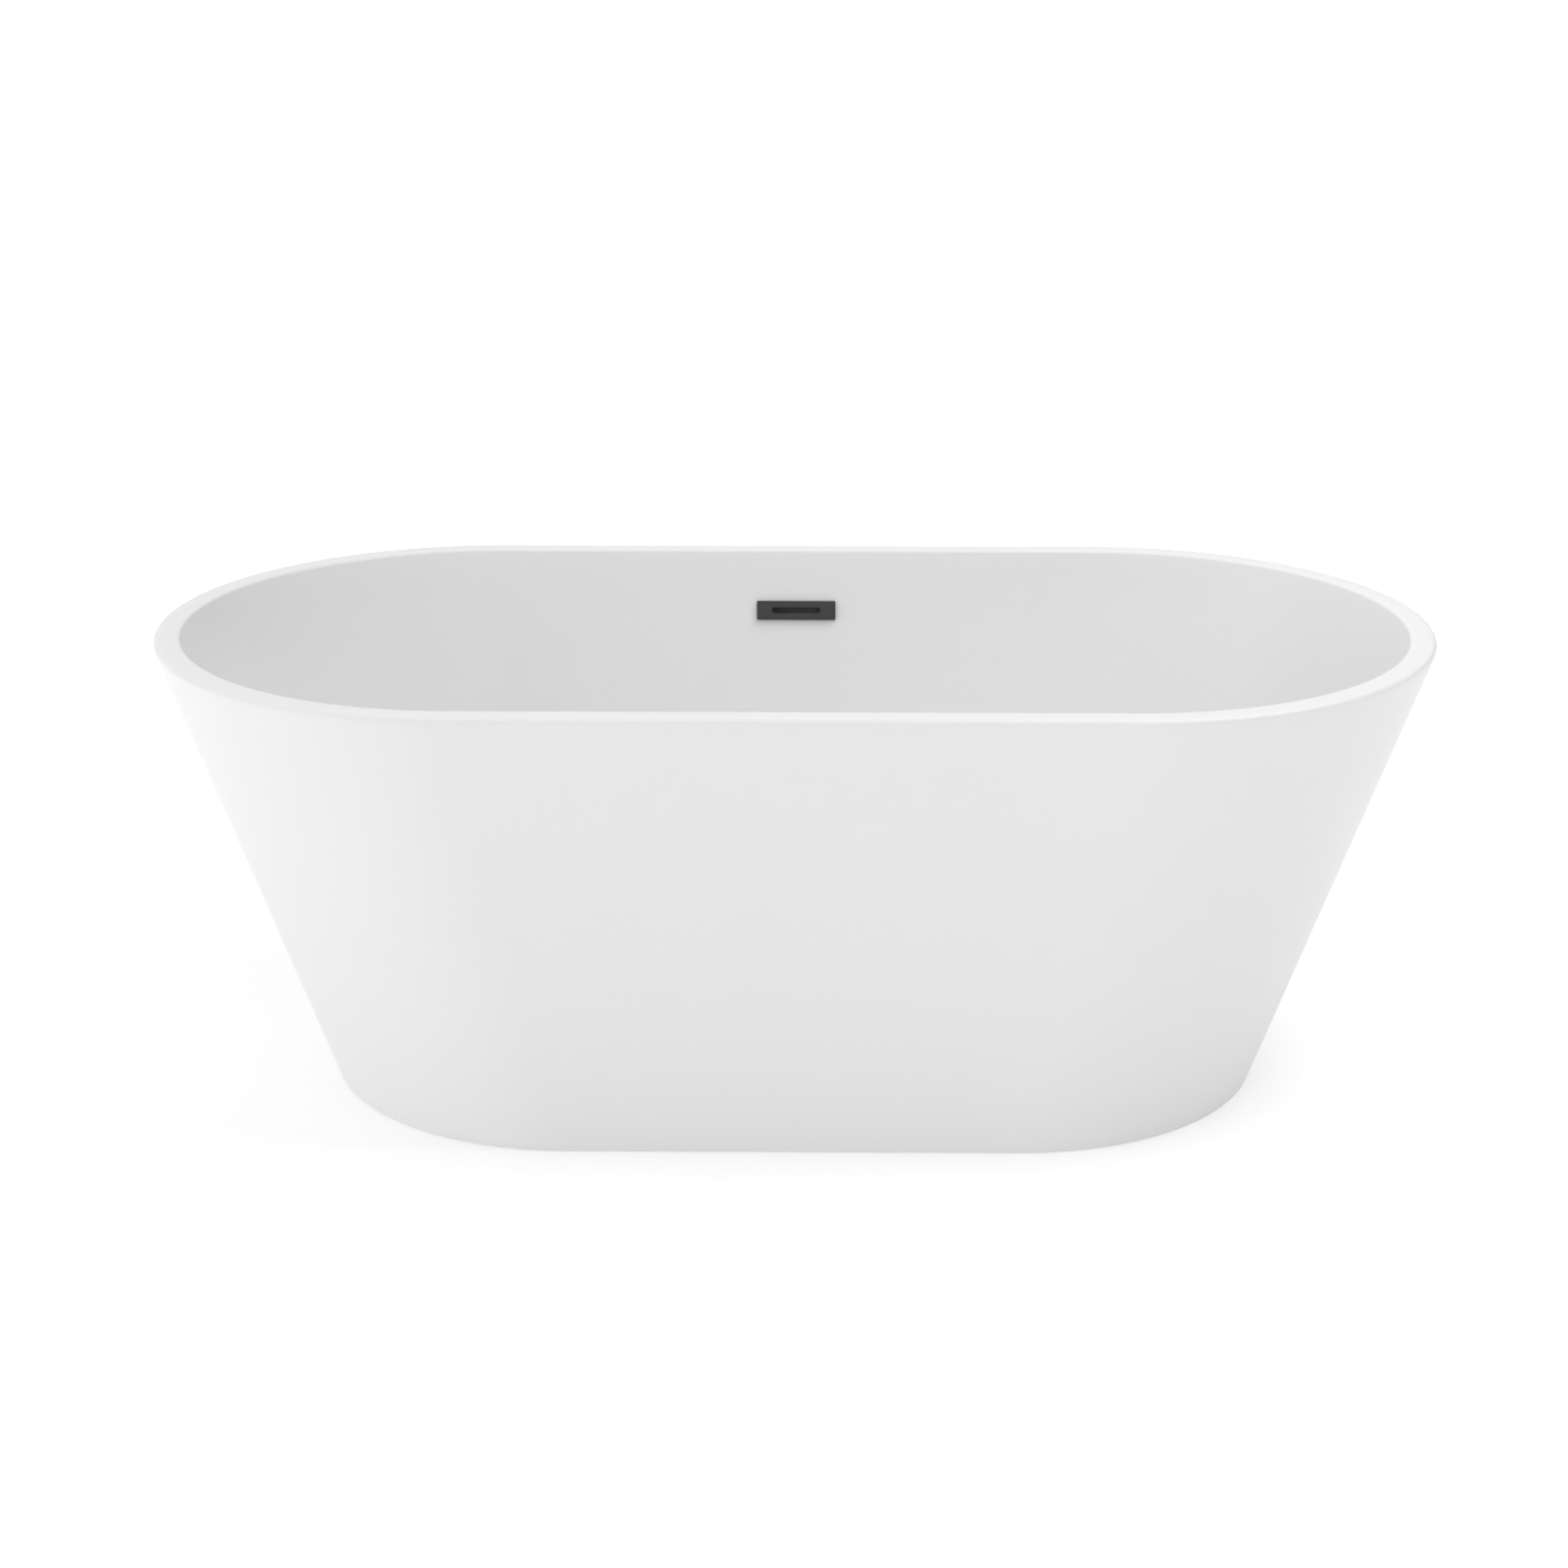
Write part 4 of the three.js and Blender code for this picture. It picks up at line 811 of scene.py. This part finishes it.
def overflow_pipe():
    """Smooth waste pipe from the overflow down between the skins to the drain's port."""
    bend, socket_z = 55.0, -22.1
    turn_y = skirt_wall(PORT_Z, SKIRT_SKIN).y - 27.0
    corners = [OVERFLOW @ Vector((0, -23.6, socket_z)), OVERFLOW @ Vector((0, -94.0, socket_z)),
               Vector((0, turn_y, PORT_Z)), Vector((0, 26.3, PORT_Z))]
    path = [corners[0].lerp(corners[1], step / 4) for step in range(3)]
    for index in (1, 2):
        before, corner, after = corners[index - 1:index + 2]
        enter = corner + (before - corner).normalized() * min(bend, (before - corner).length * 0.8)
        leave = corner + (after - corner).normalized() * bend
        path += quarter_round(enter, corner, leave, 16)
    path += [path[-1].lerp(corners[3], step / 4) for step in range(1, 5)]
    path = [path[0]] + [point for before, point in zip(path, path[1:]) if (point - before).length > 0.5]
    tube = swept(path, lambda point: Vector((1, 0, 0)), 11.0, 9.0, 32)
    finished("overflow_pipe_fine", "white_pvc", [tube], replaces="overflow_pipe")


# ---- Drain ------------------------------------------------------------------------------------------
def along_port(skin):
    return moved(skin, Matrix.Translation((0, 0, PORT_Z)) @ Matrix.Rotation(-math.pi / 2, 4, "X"))


def drain():
    tail = eased(section((20.5, 95.8), (24, 95.8), (24, 145.8), (35, 145.8), (35, 148.8), (20.5, 148.8)), 1.0, 5)
    hub = ring_part(10.3, 7.3, 118.8, 124.8, 0.5, 48)
    spokes = []
    for index in range(3):
        shape = eased([p + Vector((0, 121.8)) for p in rounded_rectangle(3.0, 6.0, 1.4, 4)], 0.05, 1)
        rings = [[Vector((x, p.x, p.y)) for p in shape] for x in (9.0, 22.0)]
        spokes.append(moved(skinned(rings, capped=True), Matrix.Rotation(2 * math.pi * index / 3, 4, "Z")))
    finished("drain_flange_fine", "matte_black_trim", [turned(tail, 96), hub, *spokes], replaces="drain_flange")
    finished("drain_lock_nut_fine", "white_pvc", [hexagon_part(62.0, 125.1, 133.1, 24.3)],
             replaces="drain_lock_nut")
    finished("drain_gasket_fine", "rubber", [ring_part(34, 24.3, 144.3, 145.5, 0.3)], replaces="drain_gasket")
    finished("drain_washer_fine", "rubber", [ring_part(34, 24.3, 133.4, 137.4, 0.8)], replaces="drain_washer")
    body = section((20, 50.1), (24, 50.1), (24, 91.5), (28.9, 95.5), (28.9, 124.8), (24.3, 124.8), (24.3, 95.5),
                   (20, 95.5))
    port = section((11.3, 21), (15, 21), (15, 62), (11.3, 62))
    skins = [turned(eased(body, 0.8, 3), 72), along_port(turned(eased(port, 0.6, 3), 48))]
    finished("drain_tee_fine", "white_pvc", skins, replaces="drain_tee")
    finished("tailpiece_fine", "white_pvc", [ring_part(19.7, 17.7, 30.1, 60.1, 0.5)], replaces="tailpiece")


def ribbed_nuts():
    nut = section((20, 45.8), (28, 45.8), (28, 59.1), (24.3, 59.1), (24.3, 49.8), (20, 49.8))
    finished("tailpiece_nut_fine", "white_pvc", [turned(eased(nut, 0.9, 3), 144, 24, 0.9)],
             replaces="tailpiece_nut")
    nut = section((11.3, 62.3), (15.3, 62.3), (15.3, 50), (19.3, 50), (19.3, 66.3), (11.3, 66.3))
    finished("overflow_pipe_nut_fine", "white_pvc", [along_port(turned(eased(nut, 0.8, 3), 144, 18, 0.8))],
             replaces="overflow_pipe_nut")


def stopper():
    """The push-to-open stopper: a gently crowned cap on its stem, sprung in a brass cartridge."""
    top, crown_radius, crown_rise = 155.2, 30.9, 1.3
    falls = [math.pi / 2 * step / 12 for step in range(12, 0, -1)]
    crown = [Vector((crown_radius * math.sin(fall), top - crown_rise * (1 - math.cos(fall)))) for fall in falls]
    edge = eased(section((0, 151.0), (32.2, 151.0), (33.0, 151.8), (33.0, 153.0), (32.4, 153.7)), 0.5, 3,
                 closed=False)
    finished("stopper_cap_fine", "matte_black_trim", [turned([*edge, *crown, Vector((0, top))], 96)],
             "stopper", "stopper_cap")
    finished("stopper_seal_fine", "rubber", [ring_part(27, 23, 149.1, 150.7, 0.4)], "stopper", "stopper_seal")
    stem = section((0, 126.8), (5.2, 126.8), (5.2, 129.5), (2, 129.5), (2, 150.7), (0, 150.7))
    finished("stopper_stem_fine", "brass", [turned(eased(stem, 0.4, 3, closed=False), 40)], "stopper",
             "stopper_stem")
    case = section((0, 107.8), (7, 107.8), (7, 140.8), (2.3, 140.8), (2.3, 138.8), (5.5, 138.8), (5.5, 109.8),
                   (0, 109.8))
    finished("click_cartridge_fine", "brass", [turned(eased(case, 0.5, 3, closed=False), 48)],
             replaces="click_cartridge")
    low, high, radius, turns, steps = 110.8, 125.8, 4.5, 5, 160
    helix = []
    for step in range(steps + 1):
        turn = 2 * math.pi * turns * step / steps
        helix.append(Vector((radius * math.cos(turn), radius * math.sin(turn), low + (high - low) * step / steps)))
    coil = swept(helix, lambda point: Vector((point.x, point.y, 0)), 0.65, 0.0, 12)
    spring = finished("cartridge_spring_fine", "zinc_plated_steel", [coil], None, "cartridge_spring")
    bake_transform(spring)


# ---- Putting it together ----------------------------------------------------------------------------
slot_of = {part["node"]: part["material_slot"] for part in frame["record"]["subparts"]}
for name, node in frame["nodes"].items():
    for place in node.material_slots:
        place.material = FINISHES[slot_of[name]].material

basin()
skirt()
laminates()
bond_bead()
base_board()
sub_frame()
for side, x in SIDES.items():
    for face, y in FACES.items():
        corner = f"{face}_{side}"
        board_screw(corner, x, y)
        bracket(corner, y)
        foot(corner, x, y)
overflow_cover()
overflow_pipe()
drain()
ribbed_nuts()
stopper()


# ---- Studio -----------------------------------------------------------------------------------------
def floor():
    rings = [[Vector((0, 0, 0))], *[circle(radius, 0.0, 96) for radius in (1500.0, 6000.0, 60000.0)]]
    points, faces = skinned(rings)
    mesh = bpy.data.meshes.new("studio_floor")
    mesh.from_pydata([point * MM for point in points], [], faces)
    mesh.materials.append(pale_glowing_floor().material)
    made = bpy.data.objects.new("studio_floor", mesh)
    bpy.context.scene.collection.objects.link(made)


def softbox(name, place, aim, size, power):
    light = bpy.data.lights.new(name, "AREA")
    light.shape = "RECTANGLE"
    light.size, light.size_y = size
    light.energy = power
    made = bpy.data.objects.new(name, light)
    made.location = place
    made.rotation_euler = (Vector(aim) - Vector(place)).to_track_quat("-Z", "Y").to_euler()
    bpy.context.scene.collection.objects.link(made)


def studio():
    """A bright ceiling and walls, darker low down on the right, with two softboxes."""
    floor()
    world = bpy.data.worlds.new("studio")
    shading = Shading(world)
    direction = shading.node("ShaderNodeTexCoord", output="Generated")
    rightwards = shading.node("ShaderNodeSeparateXYZ", None, {0: direction}, "X")
    upwards = shading.node("ShaderNodeSeparateXYZ", None, {0: direction}, "Z")
    walls = shading.between(shading.above(rightwards - upwards, -0.2, 0.5), grey(0.88), grey(0.04))
    shading.feed(shading.tree.nodes["Background"].inputs["Color"], walls)
    bpy.context.scene.world = world
    softbox("left_softbox", (-4.8, -2.0, 2.0), (-0.2, 0.0, 0.4), (3.4, 3.0), 21.0)
    softbox("top_softbox", (1.7, -0.2, 3.6), (0.1, 0.0, 0.5), (2.0, 2.2), 48.0)
    bpy.context.scene.view_settings.view_transform = "Standard"


def camera():
    """Stands in front of the tub, a little above it, and looks down at its middle."""
    lens = bpy.data.cameras.new("camera")
    lens.sensor_width = 36.0
    lens.lens = 75.51
    made = bpy.data.objects.new("camera", lens)
    made.location = (0.0294, -3.9791, 1.7070)
    made.rotation_euler = (math.radians(90 - 18.592), 0.0, math.radians(0.610))
    bpy.context.scene.collection.objects.link(made)
    bpy.context.scene.camera = made


studio()
camera()
